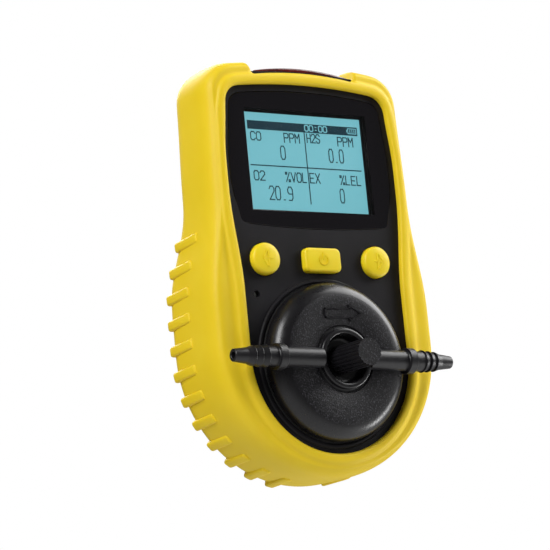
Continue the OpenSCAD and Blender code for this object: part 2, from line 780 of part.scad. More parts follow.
module sensor_cover() {
    color(black) difference() {
        turned_y(0, 0, sensor_floor_y0) polygon([[0, 0], [cover_r, 0],
            [cover_r, 2.5 + cover_proud - 0.8], [cover_r - 0.8, 2.5 + cover_proud],
            [0, 2.5 + cover_proud]]);
        for (p = sensor_places) {
            x = p[0] * sensor_pitch;
            z = p[1] * sensor_pitch;
            disc_y(x, z, inlet_r + 0.6, panel_y - 0.5, sensor_floor_y0 + 1);
            disc_y(x, z, 1.2, panel_y - cover_proud - 1, panel_y);
            for (a = [0 : 60 : 300])
                disc_y(x + 3.4 * cos(a), z + 3.4 * sin(a), 1, panel_y - cover_proud - 1, panel_y);
        }
        for (a = [0 : 90 : 270]) {
            x = cover_screw_x * cos(a);
            z = cover_screw_x * sin(a);
            disc_y(x, z, 1.1, panel_y - 6, sensor_floor_y0 + 1);
            disc_y(x, z, 2, panel_y - 6, panel_y - cover_proud + 1.5);
        }
        disc_y(0, 0, 3.2, panel_y - 6, sensor_floor_y0 + 1);
    }
}

module dust_filters() {
    color("white") for (p = sensor_places)
        disc_y(p[0] * sensor_pitch, p[1] * sensor_pitch, inlet_r + 0.4, panel_y - 0.45, panel_y + 0.2);
}

module cover_screws() {
    color(steel) for (a = [0 : 90 : 270]) {
        x = cover_screw_x * cos(a);
        z = cover_screw_x * sin(a);
        difference() {
            union() {
                disc_y(x, z, 1.8, panel_y - cover_proud + 0.1, panel_y - cover_proud + 1.5);
                disc_y(x, z, 0.8, panel_y - cover_proud + 1.4, sensor_floor_y1 + 2);
            }
            disc_y(x, z, 0.7, panel_y - cover_proud, panel_y - cover_proud + 0.8, $fn = 6);
        }
    }
}

module cap_insert() {
    color(brass) difference() {
        disc_y(0, 0, 3.2 - 0.02, panel_y - cover_proud + 0.2, sensor_floor_y0 - 0.1);
        disc_y(0, 0, thumb_shank_r + fit, panel_y - 8, sensor_floor_y0 + 1);
    }
}

// ---- Calibration cap ----

// The cap is one turned shell: straight foot, elliptical shoulder and flat face outside, then the
// groove, the collar and the bowl round the thumb screw, and back along the inside
cap_foot_h = 3.2;
cap_foot_y = cap_gasket_t + 0.1;
bowl_floor_h = cover_proud + 1.6;
bowl_under_h = cover_proud + 0.6;
function cap_shoulder(r0, r1, h0, h1, from, step) =
    [for (a = [from : step : 90 - from]) [r1 + (r0 - r1) * cos(a), h0 + (h1 - h0) * sin(a)]];

module cap_shell() {
    roof = cap_h - cap_wall;
    turned_y(0, 0, panel_y) polygon(concat([[cap_r, cap_foot_y]],
        cap_shoulder(cap_r, cap_face_r, cap_foot_h, cap_h, 0, 15),
        [[groove_r, cap_h], [groove_r, cap_h - 0.6], [collar_r, cap_h - 0.6],
         [collar_r, collar_top - 0.6], [collar_r - 0.5, collar_top], [bowl_r + 0.3, collar_top],
         [bowl_r, collar_top - 0.3], [bowl_r - 0.6, bowl_floor_h + 1.4], [bowl_r - 2, bowl_floor_h],
         [thumb_shank_r + 0.25, bowl_floor_h], [thumb_shank_r + 0.25, bowl_under_h],
         [bowl_r - 1.2, bowl_under_h], [bowl_r + 1.2, roof]],
        cap_shoulder(cap_r - cap_wall, cap_face_r - cap_wall, cap_foot_h - 1, roof, 90, -15),
        [[cap_r - cap_wall, cap_foot_y]]));
}

// A hose barb is one turned piece: tube, stop ring, plain seat, three barbs and the tip
module hose_barb() {
    tip = barb_tip_x - collar_r + 1;
    barbs = [for (k = [0 : 2]) for (q = [[0, 3.2 - 0.15 * k], [1.9, 2.7 - 0.1 * k]])
        [q[1], tip - 10.3 + 2.1 * k + q[0]]];
    translate([collar_r - 1, tube_y, 0]) rotate([0, 90, 0]) rotate_extrude($fn = 48)
        polygon(concat([[0, 0], [tube_r, 0], [tube_r, tip - 17.7], [4.1, tip - 17.7],
            [4.1, tip - 15], [hose_seat_r, tip - 15], [hose_seat_r, tip - 10.3]], barbs,
            [[2.4, tip - 4.1], [2.4, tip - 3.7], [1.85, tip], [0, tip]]));
}

module flow_arrow(t) {
    polygon([[-6 + t, 12.6 + t], [3.5 - t * 0.2, 12.6 + t], [3.5 - t * 0.2, 11.5 + 2 * t],
        [8 - 2 * t, 14.2], [3.5 - t * 0.2, 16.9 - 2 * t], [3.5 - t * 0.2, 15.8 - t],
        [-6 + t, 15.8 - t]]);
}

module calibration_cap() {
    port_x = collar_r + 4.4;
    color(black) difference() {
        union() {
            cap_shell();
            for (side = [0, 180]) rotate([0, cap_turn + side, 0]) mirror([1, 0, 0]) hose_barb();
            along_y(cap_y - 0.3, cap_y + 0.1) difference() {
                flow_arrow(0);
                flow_arrow(0.5);
            }
        }
        rotate([0, cap_turn, 0]) for (s = [-1, 1]) {
            rod_x(tube_y, 0, 1.1, s > 0 ? port_x - 1 : -barb_tip_x - 1,
                s > 0 ? barb_tip_x + 1 : -port_x + 1);
            disc_y(s * port_x, 0, 1.3, tube_y, panel_y - cover_proud - 1);
        }
    }
}

module cap_gasket() {
    color("dimgray") turned_y(0, 0, panel_y - 0.05) polygon([[cap_r - 1.7, 0], [cap_r - 0.1, 0],
        [cap_r - 0.1, cap_gasket_t], [cap_r - 1.7, cap_gasket_t]]);
}

knob_teeth = 22;
knob_tooth = 0.3;
stud_depth = 6;
module thumb_screw() {
    color(black) difference() {
        along_y(panel_y - knob_top, bowl_floor_y - 0.5)
            polygon([for (k = [0 : 2 * knob_teeth - 1])
                let (a = k * 180 / knob_teeth, r = knob_r - (k % 2) * knob_tooth)
                [r * cos(a), r * sin(a)]]);
        disc_y(0, 0, thumb_shank_r + 0.02, bowl_floor_y - stud_depth, bowl_floor_y);
    }
}

module thumb_stud() {
    color(steel)
        disc_y(0, 0, thumb_shank_r, bowl_floor_y - stud_depth + 0.1, sensor_floor_y0 - 0.4);
}

module thumb_screw_clip() {
    color(steel) difference() {
        disc_y(0, 0, thumb_shank_r + 0.9, panel_y - cover_proud - 0.5, panel_y - cover_proud - 0.15);
        disc_y(0, 0, thumb_shank_r + 0.01, panel_y - cover_proud - 1, panel_y - cover_proud);
        block(-0.9, 0.9, panel_y - cover_proud - 1, panel_y - cover_proud, -5, 0);
    }
}

// ---- Battery, buzzer, motor ----

battery_y0 = main_board_back + 1;
battery_y1 = -3.7;
module battery_pack() {
    color("#5b7fa6") difference() {
        block(-25, 25, battery_y0, battery_y1, main_board_z0 + 3, 81);
        for (s = [-1, 1]) block(s * 25 - 0.5, s * 25 + 0.5, battery_y0 - 1, battery_y0 + 1.2,
            main_board_z0, 82);
    }
}

module battery_foam() {
    color("dimgray") block(-18, 18, battery_y1 + 0.05, -3.25, clip_z - 14, clip_z + 5);
}

module battery_lead() {
    x0 = 20.8;
    x1 = 27.3;
    z = main_board_z0 + 3;
    color("crimson") for (y = [battery_y0 + 2.2, battery_y0 + 0.6]) {
        translate([(x0 + x1) / 2, y, z]) rotate([90, 0, 0]) rotate([0, 0, 180])
            rotate_extrude(angle = 180) translate([(x1 - x0) / 2, 0]) circle(0.6, $fn = 24);
        translate([x1, y, z]) cylinder(r = 0.6, h = 36 - z, $fn = 24);
    }
}

module buzzer() {
    color(black) difference() {
        disc_y(buzzer_x, buzzer_z, buzzer_r, panel_in_y + 0.6, panel_in_y + 7.6);
        disc_y(buzzer_x, buzzer_z, 1.2, panel_in_y, panel_in_y + 2);
    }
}

module buzzer_membrane() {
    color("whitesmoke") disc_y(buzzer_x, buzzer_z, 4, panel_in_y + 0.02, panel_in_y + 0.55);
}

module vibration_motor() {
    color(steel) difference() {
        translate([motor_x, motor_y, -10]) cylinder(r = motor_r, h = 11);
        translate([motor_x, motor_y, -9]) cylinder(r = 0.5 + fit, h = 12, $fn = 24);
    }
}

module motor_shaft() {
    color(steel) translate([motor_x, motor_y, -8.9]) cylinder(r = 0.5, h = 14.8, $fn = 24);
}

module motor_weight() {
    color("slategray") difference() {
        translate([motor_x, motor_y, 1.7]) intersection() {
            cylinder(r = 2.9, h = 4);
            union() {
                cylinder(r = 1.2, h = 4);
                translate([-3, -0.4, 0]) cube([6, 4, 4]);
            }
        }
        translate([motor_x, motor_y, 0]) cylinder(r = 0.5, h = 9, $fn = 24);
    }
}

// ---- Charging ----

socket_w = 9;
socket_d = 3.2;
plug_w = 12;
plug_d = 6.4;

module charge_socket() {
    x1 = socket_wall_x - wall - 0.3;
    color(steel) translate([x1, socket_y, socket_z]) rotate([90, 0, 90]) difference() {
        translate([0, 0, -7.5]) linear_extrude(7.5) round_rect(socket_d, socket_w, 1.3);
        translate([0, 0, -6.5]) linear_extrude(8) round_rect(socket_d - 0.6, socket_w - 0.6, 1);
    }
}

// The plug's flap lies on the case's side and its face follows the boot; a tongue fills the port
module port_plug() {
    flap_x = half_w(body_spec, socket_z - plug_w / 2);
    color(yellow) union() {
        intersection() {
            translate([0, socket_y, socket_z]) rotate([90, 0, 90]) linear_extrude(flap_x)
                round_rect(plug_d, plug_w, 2);
            along_y(panel_y, split_y + 2) difference() {
                body_2d(-0.6);
                body_2d(-boot_t + 0.15);
            }
        }
        translate([socket_wall_x, socket_y, socket_z]) rotate([90, 0, 90])
            translate([0, 0, -wall]) linear_extrude(wall + 1)
            round_rect(socket_d - 0.1, socket_w - 0.1, 1.2);
    }
}

// ---- Belt clip ----

clip_screw_r = 1.05;
clip_screw_places = [for (x = [-6, 6]) for (z = [-12, 2]) [x, clip_z + z]];

module clip_plate() {
    color(steel) difference() {
        union() {
            along_y(0.02, clip_t) translate([0, clip_z]) round_rect(clip_w, clip_len, 3);
            for (s = [-1, 1]) translate([s * ear_x, 0, 0]) across_x(clip_t) union() {
                translate([clip_t / 2, pin_z - 7]) square([pin_y - clip_t / 2, 14]);
                translate([pin_y, pin_z]) circle(2.6);
                translate([clip_t / 2, pin_z - 2.6]) square([pin_y - clip_t / 2, 5.2]);
            }
        }
        across_x(60) translate([pin_y, pin_z]) circle(clip_pin_r + 0.01);
        for (p = clip_screw_places) disc_y(p[0], p[1], clip_screw_r + 0.3, -1, 3);
    }
}

// Side view of the jaw: thumb tab above the pin, arm below it, tip turned in to the plate
module jaw_side() {
    polygon([[jaw_y + 3.2, pin_z + 9.6], [jaw_y + 3.2 + clip_t, pin_z + 9.2],
        [jaw_y + clip_t, pin_z + 1], [jaw_y + clip_t, clip_z - 15.4], [clip_t + 0.5, clip_z - 16.6],
        [clip_t + 0.5, clip_z - 15.2], [jaw_y, clip_z - 14], [jaw_y, pin_z + 1.4]]);
}

module clip_jaw() {
    color(steel) difference() {
        union() {
            intersection() {
                across_x(2 * cheek_x + clip_t) jaw_side();
                along_y(-10, 30) translate([0, clip_z - 1]) round_rect(2 * cheek_x + clip_t, 42, 4);
            }
            for (s = [-1, 1]) translate([s * cheek_x, 0, 0]) across_x(clip_t) union() {
                translate([pin_y, pin_z]) circle(2.4);
                translate([pin_y, pin_z - 2.4]) square([jaw_y - pin_y + 0.5, 4.8]);
                polygon([[jaw_y + 0.4, pin_z - 12], [jaw_y + 0.4, pin_z + 2.4],
                    [pin_y, pin_z + 2.4], [pin_y, pin_z - 2.4]]);
            }
        }
        across_x(60) translate([pin_y, pin_z]) circle(clip_pin_r + fit + 0.01);
    }
}

module clip_pin() {
    color(steel) union() {
        rod_x(pin_y, pin_z, clip_pin_r, -ear_x - 0.7, ear_x + 0.7);
        for (s = [-1, 1]) rod_x(pin_y, pin_z, clip_pin_r + 0.6, s * (ear_x + 0.95) - 0.3,
            s * (ear_x + 0.95) + 0.3);
    }
}

// Torsion spring: turns round the pin, with one leg down the plate and one down the jaw
spring_turns = 5;
spring_wire_r = 0.35;
spring_r = clip_pin_r + 0.75;
spring_sides = 8;
spring_steps = 16;
spring_n = spring_turns * spring_steps + spring_steps / 2;
spring_path = concat(
    [[-2.2, clip_t + 0.6, pin_z - 11]],
    [for (k = [0 : spring_n]) let (a = 180 - 360 * k / spring_steps)
        [mix(-2.2, 2.2, k / spring_n), pin_y + spring_r * cos(a), pin_z + spring_r * sin(a)]],
    [[2.2, jaw_y - 0.6, pin_z - 11]]);
module clip_spring() {
    n = len(spring_path);
    rings = [for (k = [0 : n - 1])
        let (t = spring_path[min(k + 1, n - 1)] - spring_path[max(k - 1, 0)],
            side = cross(t, [1, 0, 0]), u = side / norm(side))
        for (j = [0 : spring_sides - 1]) let (b = 360 * j / spring_sides)
            spring_path[k] + spring_wire_r * (cos(b) * [1, 0, 0] + sin(b) * u)];
    color("silver") polyhedron(points = rings, faces = concat(
        [[for (j = [0 : spring_sides - 1]) j]],
        [[for (j = [spring_sides - 1 : -1 : 0]) (n - 1) * spring_sides + j]],
        [for (k = [0 : n - 2]) for (j = [0 : spring_sides - 1])
            let (a = k * spring_sides, b = a + spring_sides, j2 = (j + 1) % spring_sides)
            [a + j, b + j, b + j2, a + j2]]));
}

module clip_screws() {
    color(steel) for (p = clip_screw_places) difference() {
        union() {
            disc_y(p[0], p[1], clip_screw_r, -3, clip_t);
            disc_y(p[0], p[1], 2.1, clip_t + 0.02, clip_t + 1.1);
        }
        disc_y(p[0], p[1], 0.8, clip_t + 0.4, clip_t + 2, $fn = 6);
    }
}

placed() rubber_boot();
placed() front_case();
placed() rear_case();
placed() case_seal();
placed() case_screws();
placed() case_inserts();
placed() display_window();
placed() window_tape();
placed() lcd_glass();
placed() lcd_backlight();
placed() lcd_holder();
placed() lcd_flex();
placed() keypad_mat();
placed() left_key();
placed() power_key();
placed() right_key();
placed() key_switches();
placed() alarm_lens();
placed() alarm_leds();
placed() main_board();
placed() board_chips();
placed() board_screws();
placed() board_flex();
placed() sensor_board();
placed() sensor_sockets();
placed() co_sensor();
placed() h2s_sensor();
placed() oxygen_sensor();
placed() combustible_sensor();
placed() sensor_gasket();
placed() sensor_cover();
placed() dust_filters();
placed() cover_screws();
placed() cap_insert();
placed() calibration_cap();
placed() cap_gasket();
placed() thumb_screw();
placed() thumb_stud();
placed() thumb_screw_clip();
placed() battery_pack();
placed() battery_foam();
placed() battery_lead();
placed() buzzer();
placed() buzzer_membrane();
placed() vibration_motor();
placed() motor_shaft();
placed() motor_weight();
placed() charge_socket();
placed() port_plug();
placed() clip_plate();
placed() clip_jaw();
placed() clip_pin();
placed() clip_spring();
placed() clip_screws();
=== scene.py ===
import math

import bmesh
import bpy
from mathutils import Matrix, Vector


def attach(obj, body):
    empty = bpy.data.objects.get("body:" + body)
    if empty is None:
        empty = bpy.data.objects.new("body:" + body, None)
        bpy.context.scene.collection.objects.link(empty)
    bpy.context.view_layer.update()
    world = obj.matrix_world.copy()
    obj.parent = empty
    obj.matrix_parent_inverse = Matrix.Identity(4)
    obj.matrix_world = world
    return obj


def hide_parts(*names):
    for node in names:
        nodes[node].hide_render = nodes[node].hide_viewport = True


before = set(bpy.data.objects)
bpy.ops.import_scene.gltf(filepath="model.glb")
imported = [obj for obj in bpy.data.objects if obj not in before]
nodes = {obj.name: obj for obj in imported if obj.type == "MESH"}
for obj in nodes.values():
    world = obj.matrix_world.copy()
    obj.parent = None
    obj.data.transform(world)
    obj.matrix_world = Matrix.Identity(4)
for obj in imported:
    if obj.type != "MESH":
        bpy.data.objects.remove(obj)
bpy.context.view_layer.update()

# ---- Case ----
# The front and rear case are injection moulded in ABS. The mould is spark eroded, which leaves a
# fine matt grain. Four screws from behind pull them together on brass inserts.


def paint(code):
    """A linear colour from an sRGB hex code."""
    parts = [int(code[i : i + 2], 16) / 255 for i in (1, 3, 5)]
    return tuple(
        c / 12.92 if c <= 0.04045 else ((c + 0.055) / 1.055) ** 2.4 for c in parts
    ) + (1.0,)


def wire(finish, kind, settings, links=()):
    """Adds one node to a finish, with its settings and the sockets that feed it."""
    node = finish.node_tree.nodes.new(kind)
    for name, value in settings.items():
        if isinstance(name, str) and name in node.inputs:
            node.inputs[name].default_value = value
        elif isinstance(name, int):
            node.inputs[name].default_value = value
        else:
            setattr(node, name, value)
    for name, source in dict(links).items():
        finish.node_tree.links.new(source, node.inputs[name])
    return node


def new_finish(name):
    """An empty finish, and the object's own coordinates in metres."""
    finish = bpy.data.materials.new(name)
    finish.use_nodes = True
    finish.node_tree.nodes.clear()
    place = wire(finish, "ShaderNodeTexCoord", {}).outputs["Object"]
    return finish, place


def coat(finish, shader):
    wire(finish, "ShaderNodeOutputMaterial", {}, {"Surface": shader.outputs["BSDF"]})
    return finish


def blend_colours(finish, fac, dark, light):
    ramp = wire(finish, "ShaderNodeValToRGB", {}, {"Fac": fac})
    ramp.color_ramp.elements[0].color = paint(dark)
    ramp.color_ramp.elements[1].color = paint(light)
    ramp.color_ramp.elements[0].position = 0.3
    ramp.color_ramp.elements[1].position = 0.7
    return ramp.outputs["Color"]


def moulded(name, dark, light, gloss, grain_mm, depth_mm, cloud_mm=9.0, **settings):
    """A moulded finish: the colour drifts a little over cloud_mm, and the mould's grain of
    grain_mm breaks up the gloss."""
    finish, place = new_finish(name)
    cloud = wire(finish, "ShaderNodeTexNoise",
                 {"Scale": 1000 / cloud_mm, "Detail": 3.0}, {"Vector": place})
    grain = wire(finish, "ShaderNodeTexNoise",
                 {"Scale": 1000 / grain_mm, "Detail": 2.0, "Roughness": 0.6}, {"Vector": place})
    rough = wire(finish, "ShaderNodeMapRange",
                 {"From Min": 0.3, "From Max": 0.7, "To Min": gloss[0], "To Max": gloss[1]},
                 {"Value": grain.outputs["Fac"]})
    bump = wire(finish, "ShaderNodeBump", {"Strength": 1.0, "Distance": depth_mm / 1000},
                {"Height": grain.outputs["Fac"]})
    shader = wire(finish, "ShaderNodeBsdfPrincipled", settings,
                  {"Base Color": blend_colours(finish, cloud.outputs["Fac"], dark, light),
                   "Roughness": rough.outputs["Result"], "Normal": bump.outputs["Normal"]})
    return coat(finish, shader)


def dress(finish, *names):
    """Gives a finish to the nodes of the frame by name."""
    for name in names:
        for holder in nodes[name].material_slots:
            holder.material = finish


# Charcoal ABS: a soft grey sheen with a 0.25 mm grain that just shows
front_abs = moulded("spark_textured_charcoal_abs", "#121114", "#18161a", (0.44, 0.56),
                    0.25, 0.012, **{"IOR": 1.53, "Specular IOR Level": 0.2})
# Black ABS for the back: the same mould grain, a little coarser
rear_abs = moulded("spark_textured_black_abs", "#1c1b1e", "#232225", (0.46, 0.64), 0.35, 0.03,
                   IOR=1.53)
# Black EPDM for the seals: matt, with a soft bloom on it
seal_rubber = moulded("black_epdm_rubber", "#151515", "#1f1f20", (0.7, 0.85), 0.4, 0.01)
dress(front_abs, "front_case")
dress(rear_abs, "rear_case")
dress(seal_rubber, "case_seal", "sensor_gasket", "cap_gasket", "battery_foam")


# A machined or brushed line is this many times longer than it is wide
LINE_STRETCH = 40


def metal(name, dark, light, gloss, line_mm, along):
    """A metal whose surface was cut or brushed along one axis: the lines are stretched noise."""
    finish, place = new_finish(name)
    stretch = [1000 / line_mm] * 3
    stretch[along] = 1000 / (line_mm * LINE_STRETCH)
    drawn_out = wire(finish, "ShaderNodeMapping", {"Scale": stretch}, {"Vector": place})
    lines = wire(finish, "ShaderNodeTexNoise", {"Scale": 1.0, "Detail": 3.0},
                 {"Vector": drawn_out.outputs["Vector"]})
    rough = wire(finish, "ShaderNodeMapRange",
                 {"From Min": 0.3, "From Max": 0.7, "To Min": gloss[0], "To Max": gloss[1]},
                 {"Value": lines.outputs["Fac"]})
    bump = wire(finish, "ShaderNodeBump", {"Strength": 0.5, "Distance": 0.00001},
                {"Height": lines.outputs["Fac"]})
    shader = wire(finish, "ShaderNodeBsdfPrincipled", {"Metallic": 1.0},
                  {"Base Color": blend_colours(finish, lines.outputs["Fac"], dark, light),
                   "Roughness": rough.outputs["Result"], "Normal": bump.outputs["Normal"]})
    return coat(finish, shader)


# Zinc plated steel for the screws: pale grey with fine turning lines
zinc_steel = metal("zinc_plated_steel", "#8f9296", "#b4b7ba", (0.28, 0.45), 0.15, 1)
# Turned brass for the inserts and the sensor sockets
turned_brass = metal("turned_brass", "#9c7a34", "#c9a552", (0.22, 0.4), 0.12, 1)
dress(zinc_steel, "case_screws", "board_screws", "cover_screws", "clip_screws", "thumb_stud",
      "thumb_screw_clip", "charge_socket", "key_switches", "motor_shaft", "vibration_motor")
dress(turned_brass, "case_inserts", "sensor_sockets", "cap_insert")

# ---- Inside ----
# Two printed circuit boards with their chips, joined by a flat cable, a lithium cell in shrink
# wrap, a buzzer and a vibration motor. They sit between the two cases.

# Green solder mask: tracks show as a slightly lighter web about a millimetre apart
solder_mask, place = new_finish("green_solder_mask")
tracks = wire(solder_mask, "ShaderNodeTexBrick",
              {"Color1": paint("#14573a"), "Color2": paint("#1a6443"), "Mortar": paint("#2d7d58"),
               "Scale": 400.0, "Mortar Size": 0.03}, {"Vector": place})
coat(solder_mask, wire(solder_mask, "ShaderNodeBsdfPrincipled",
                       {"Roughness": 0.35, "Coat Weight": 0.4, "Coat Roughness": 0.15},
                       {"Base Color": tracks.outputs["Color"]}))
# Moulded epoxy on the chips: flat near-black
chip_epoxy = moulded("black_chip_epoxy", "#161616", "#202022", (0.5, 0.65), 0.2, 0.01)
# PVC shrink wrap on the cell: smooth blue, gently rippled every 3 mm
shrink_wrap = moulded("blue_pvc_shrink_wrap", "#35608c", "#3e6c9b", (0.2, 0.34), 3.0, 0.05)
# Vinyl on the leads: even dark red with a low sheen
red_vinyl = moulded("red_vinyl_sleeve", "#7d1212", "#931a18", (0.35, 0.45), 1.0, 0.01)
# Polyimide film: glossy amber
polyimide = moulded("amber_polyimide_film", "#a55f18", "#c07a26", (0.2, 0.3), 1.5, 0.01)
# Natural nylon: warm white, half matt
white_nylon = moulded("white_moulded_nylon", "#d9d8d0", "#e8e7e1", (0.45, 0.55), 0.5, 0.01)
# Sintered tungsten: dull dark grey metal
tungsten = metal("sintered_tungsten", "#5b5f66", "#757a80", (0.4, 0.55), 0.1, 2)
# Foam tape: matt black
black_tape = moulded("black_acrylic_tape", "#111112", "#18181a", (0.6, 0.7), 0.8, 0.005)
# Clear LED epoxy: pale and glossy, drawn opaque because it hardly shows
led_epoxy = moulded("clear_led_epoxy", "#d8c8c0", "#efe3de", (0.12, 0.2), 1.0, 0.004)
dress(solder_mask, "main_board", "sensor_board")
dress(chip_epoxy, "board_chips", "buzzer")
dress(shrink_wrap, "battery_pack")
dress(red_vinyl, "battery_lead")
dress(polyimide, "board_flex", "lcd_flex")
dress(white_nylon, "lcd_holder", "lcd_backlight", "buzzer_membrane", "dust_filters")
dress(tungsten, "motor_weight")
dress(black_tape, "window_tape")
dress(led_epoxy, "alarm_leds")

# ---- Boot ----
# One compression-moulded silicone rubber sleeve. It is stretched over the case, its lip folds on
# to the front panel, and ribs down both sides and under the belly give the grip.

# The drawing's heights start at the centre of the sensors, this far under the clip's seat
CLIP_Z = 58.0
PANEL_Y = -20.0


def smooth_step(a, b, z):
    t = min(1.0, max(0.0, (z - a) / (b - a)))
    return t * t * (3 - 2 * t)


def mix(a, b, t):
    return a + (b - a) * t


# Outlines in millimetres, seen from the front: a circle below, flanks that draw in, round
# shoulders and a crowned top
boot_shape = dict(low_r=41.5, low_z=6, half=38, flare=(18, 51.5), taper=0.9, taper_z=53, top=97,
                  corner=11, crown=220)
mouth_shape = dict(low_r=29.8, low_z=1.6, half=32.2, flare=(22, 54), taper=1.5, taper_z=64,
                   top=88.6, corner=6.5, crown=200)
NOTCH_X = 18.4
NOTCH_END_X = 20.7
flank_heights = [9, 12, 15, 18, 21, 24, 26, 28, 30.4, 32.8, 35.2, 37.6, 40, 43, 47, 51, 55, 59,
                 63, 67, 71, 75, 79]
crown_places = [24.0, 22.4, 21.0, 20.6, 20.0, 19.2, 18.4, 17.5, 14.6, 11, 7.3, 3.6, 0]


def half_width(shape, z):
    draw_in = (shape["half"] - shape["low_r"]) * smooth_step(*shape["flare"], z)
    taper = shape["taper"] * smooth_step(shape["taper_z"], shape["top"] - shape["corner"], z)
    return shape["low_r"] + draw_in - taper


def outline(shape, out=0.0):
    """The points of an outline moved outwards, from the bottom up the right side and back down
    the left."""
    r, z0 = shape["low_r"] + out, shape["low_z"]
    half = [(r * math.cos(math.radians(a)), z0 + r * math.sin(math.radians(a)))
            for a in [-90 + 3.6 * k for k in range(26)]]
    half += [(half_width(shape, z) + out, z) for z in flank_heights]
    corner_x = shape["half"] - shape["taper"] - shape["corner"]
    inner = shape["crown"] - shape["corner"]
    corner_z = shape["top"] - shape["crown"] + math.sqrt(inner**2 - corner_x**2)
    sweep = math.pi / 2 - math.asin(corner_x / inner)
    for k in range(9):
        a = sweep * k / 8
        half.append((corner_x + (shape["corner"] + out) * math.cos(a),
                     corner_z + (shape["corner"] + out) * math.sin(a)))
    for x in crown_places:
        a = math.asin(x / shape["crown"])
        half.append(((shape["crown"] + out) * math.sin(a),
                     shape["top"] - shape["crown"] + (shape["crown"] + out) * math.cos(a)))
    return half + [(-x, z) for x, z in half[-2:0:-1]]


def case_back(z):
    return 6.4 * (1 - min(1.0, max(0.0, (z - 28) / 12)))


def boot_back(z):
    return 1.6 + 6.4 * (1 - smooth_step(24, 52, z))


mouth = outline(mouth_shape)
rim = outline(boot_shape, -2.4)
LIP_WIDTH = 3.3
# Across the lip: share of its width, and height over the panel
lip_curve = [(0, -0.5), (0, 0.7), (0, 1.4), (0.05, 1.82), (0.16, 2.08), (0.34, 2.2), (0.55, 2.2),
             (0.75, 2.1), (0.9, 1.88), (1.0, 1.62)]
# From the lip to the rim: share of the way, height over the panel where there is room for the
# soft groove, and where there is none
apron_curve = [(0.08, 1.3, 1.52), (0.22, 0.95, 1.4), (0.42, 0.92, 1.24), (0.66, 1.05, 1.1),
               (0.86, 1.0, 0.98)]
# Down the side: how far inside the outline, and distance behind the panel
side_curve = [(-2.4, -0.8), (-1.5, 0.0), (-0.8, 1.4), (-0.32, 3.5), (-0.08, 6.1), (0, 9.2)]
rear_angles = [0, 12, 24.2, 27.5, 40, 54, 70, 90]
REAR_RADIUS = 7.5
# How far inside the outline the wall meets the case's side and its rear step
SIDE_IN = -3.85
STEP_IN = -6.35
# The rear edge rolls in over the case: how far inside the outline, and height over the back
rear_edge = [(-8.3, 0.0), (-8.8, -0.4), (-8.9, None), (STEP_IN, None)]
# The front wall of the notch over the display, and the pocket behind it that holds the lens
NOTCH_TOP = 92.4
POCKET_Z = 90.4
NOTCH_FROM_Z = 90
NOTCH_CROWN = 250


def boot_column(k):
    """One section of the boot through the wall, from the mouth round the outside and back along
    the case."""
    (mx, mz), (rx, rz) = mouth[k], rim[k]
    gap = math.hypot(rx - mx, rz - mz)
    ux, uz = (rx - mx) / gap, (rz - mz) / gap
    lip = min(LIP_WIDTH, gap * 0.82)
    room = smooth_step(0.5, 4.5, gap - lip)
    points = [(mx + ux * lip * s, PANEL_Y - h, mz + uz * lip * s) for s, h in lip_curve]
    for s, groove, plain in apron_curve:
        reach = mix(lip, gap, s)
        points.append((mx + ux * reach, PANEL_Y - mix(plain, groove, room), mz + uz * reach))
    for out, depth in side_curve:
        x, z = boot_rings[out][k]
        points.append((x, PANEL_Y + depth, z))
    for angle in rear_angles:
        a = math.radians(angle)
        x, z = boot_rings[-REAR_RADIUS * (1 - math.cos(a))][k]
        points.append((x, boot_back(z) - REAR_RADIUS * (1 - math.sin(a)), z))
    for out, lift in rear_edge:
        x, z = boot_rings[out][k]
        points.append((x, case_back(z) + 0.15 if lift is None else boot_back(z) + lift, z))
    for out, depth in [(STEP_IN, -3.9), (SIDE_IN, -3.9)]:
        x, z = boot_rings[out][k]
        points.append((x, case_back(z) + depth, z))
    x, z = boot_rings[SIDE_IN][k]
    points.append((x, PANEL_Y + 0.5, z))
    return points


boot_rings = {out: outline(boot_shape, out) for out in
              [o for o, _ in side_curve + rear_edge] + [SIDE_IN]
              + [-REAR_RADIUS * (1 - math.cos(math.radians(a))) for a in rear_angles]}
# In the notch the rows from the lip's last one on take their own place: distance behind the
# panel, and height
notch_curve = [(-1.35, NOTCH_TOP - 0.4), (-1.0, NOTCH_TOP - 0.05), (-0.75, NOTCH_TOP + 0.05),
               (-0.5, NOTCH_TOP + 0.05), (-0.25, NOTCH_TOP), (0.0, NOTCH_TOP - 0.2),
               (0.2, NOTCH_TOP - 0.6), (0.3, POCKET_Z + 0.4), (1.2, POCKET_Z), (4.0, POCKET_Z),
               (7.0, POCKET_Z), (9.5, POCKET_Z), (11.5, POCKET_Z), (13.5, POCKET_Z),
               (15.6, POCKET_Z), (16.2, POCKET_Z + 0.8), (17.0, 95.6)]


def boot_section(k):
    points = boot_column(k)
    x = abs(boot_rings[0][k][0])
    if boot_rings[0][k][1] > NOTCH_FROM_Z and x < NOTCH_END_X:
        w = smooth_step(NOTCH_END_X, NOTCH_X, x) if x > NOTCH_X else 1.0
        for row, (depth, z) in enumerate(notch_curve, len(lip_curve) - 1):
            px, py, pz = points[row]
            drop = z - x * x / NOTCH_CROWN
            points[row] = (px, mix(py, PANEL_Y + depth, w), mix(pz, min(pz, drop), w))
    return points


def settle(bm):
    """Turns a shape drawn in millimetres from the centre of the sensors into the frame's metres."""
    bmesh.ops.translate(bm, verts=bm.verts, vec=(0, 0, -CLIP_Z))
    bmesh.ops.scale(bm, verts=bm.verts, vec=(0.001, 0.001, 0.001))


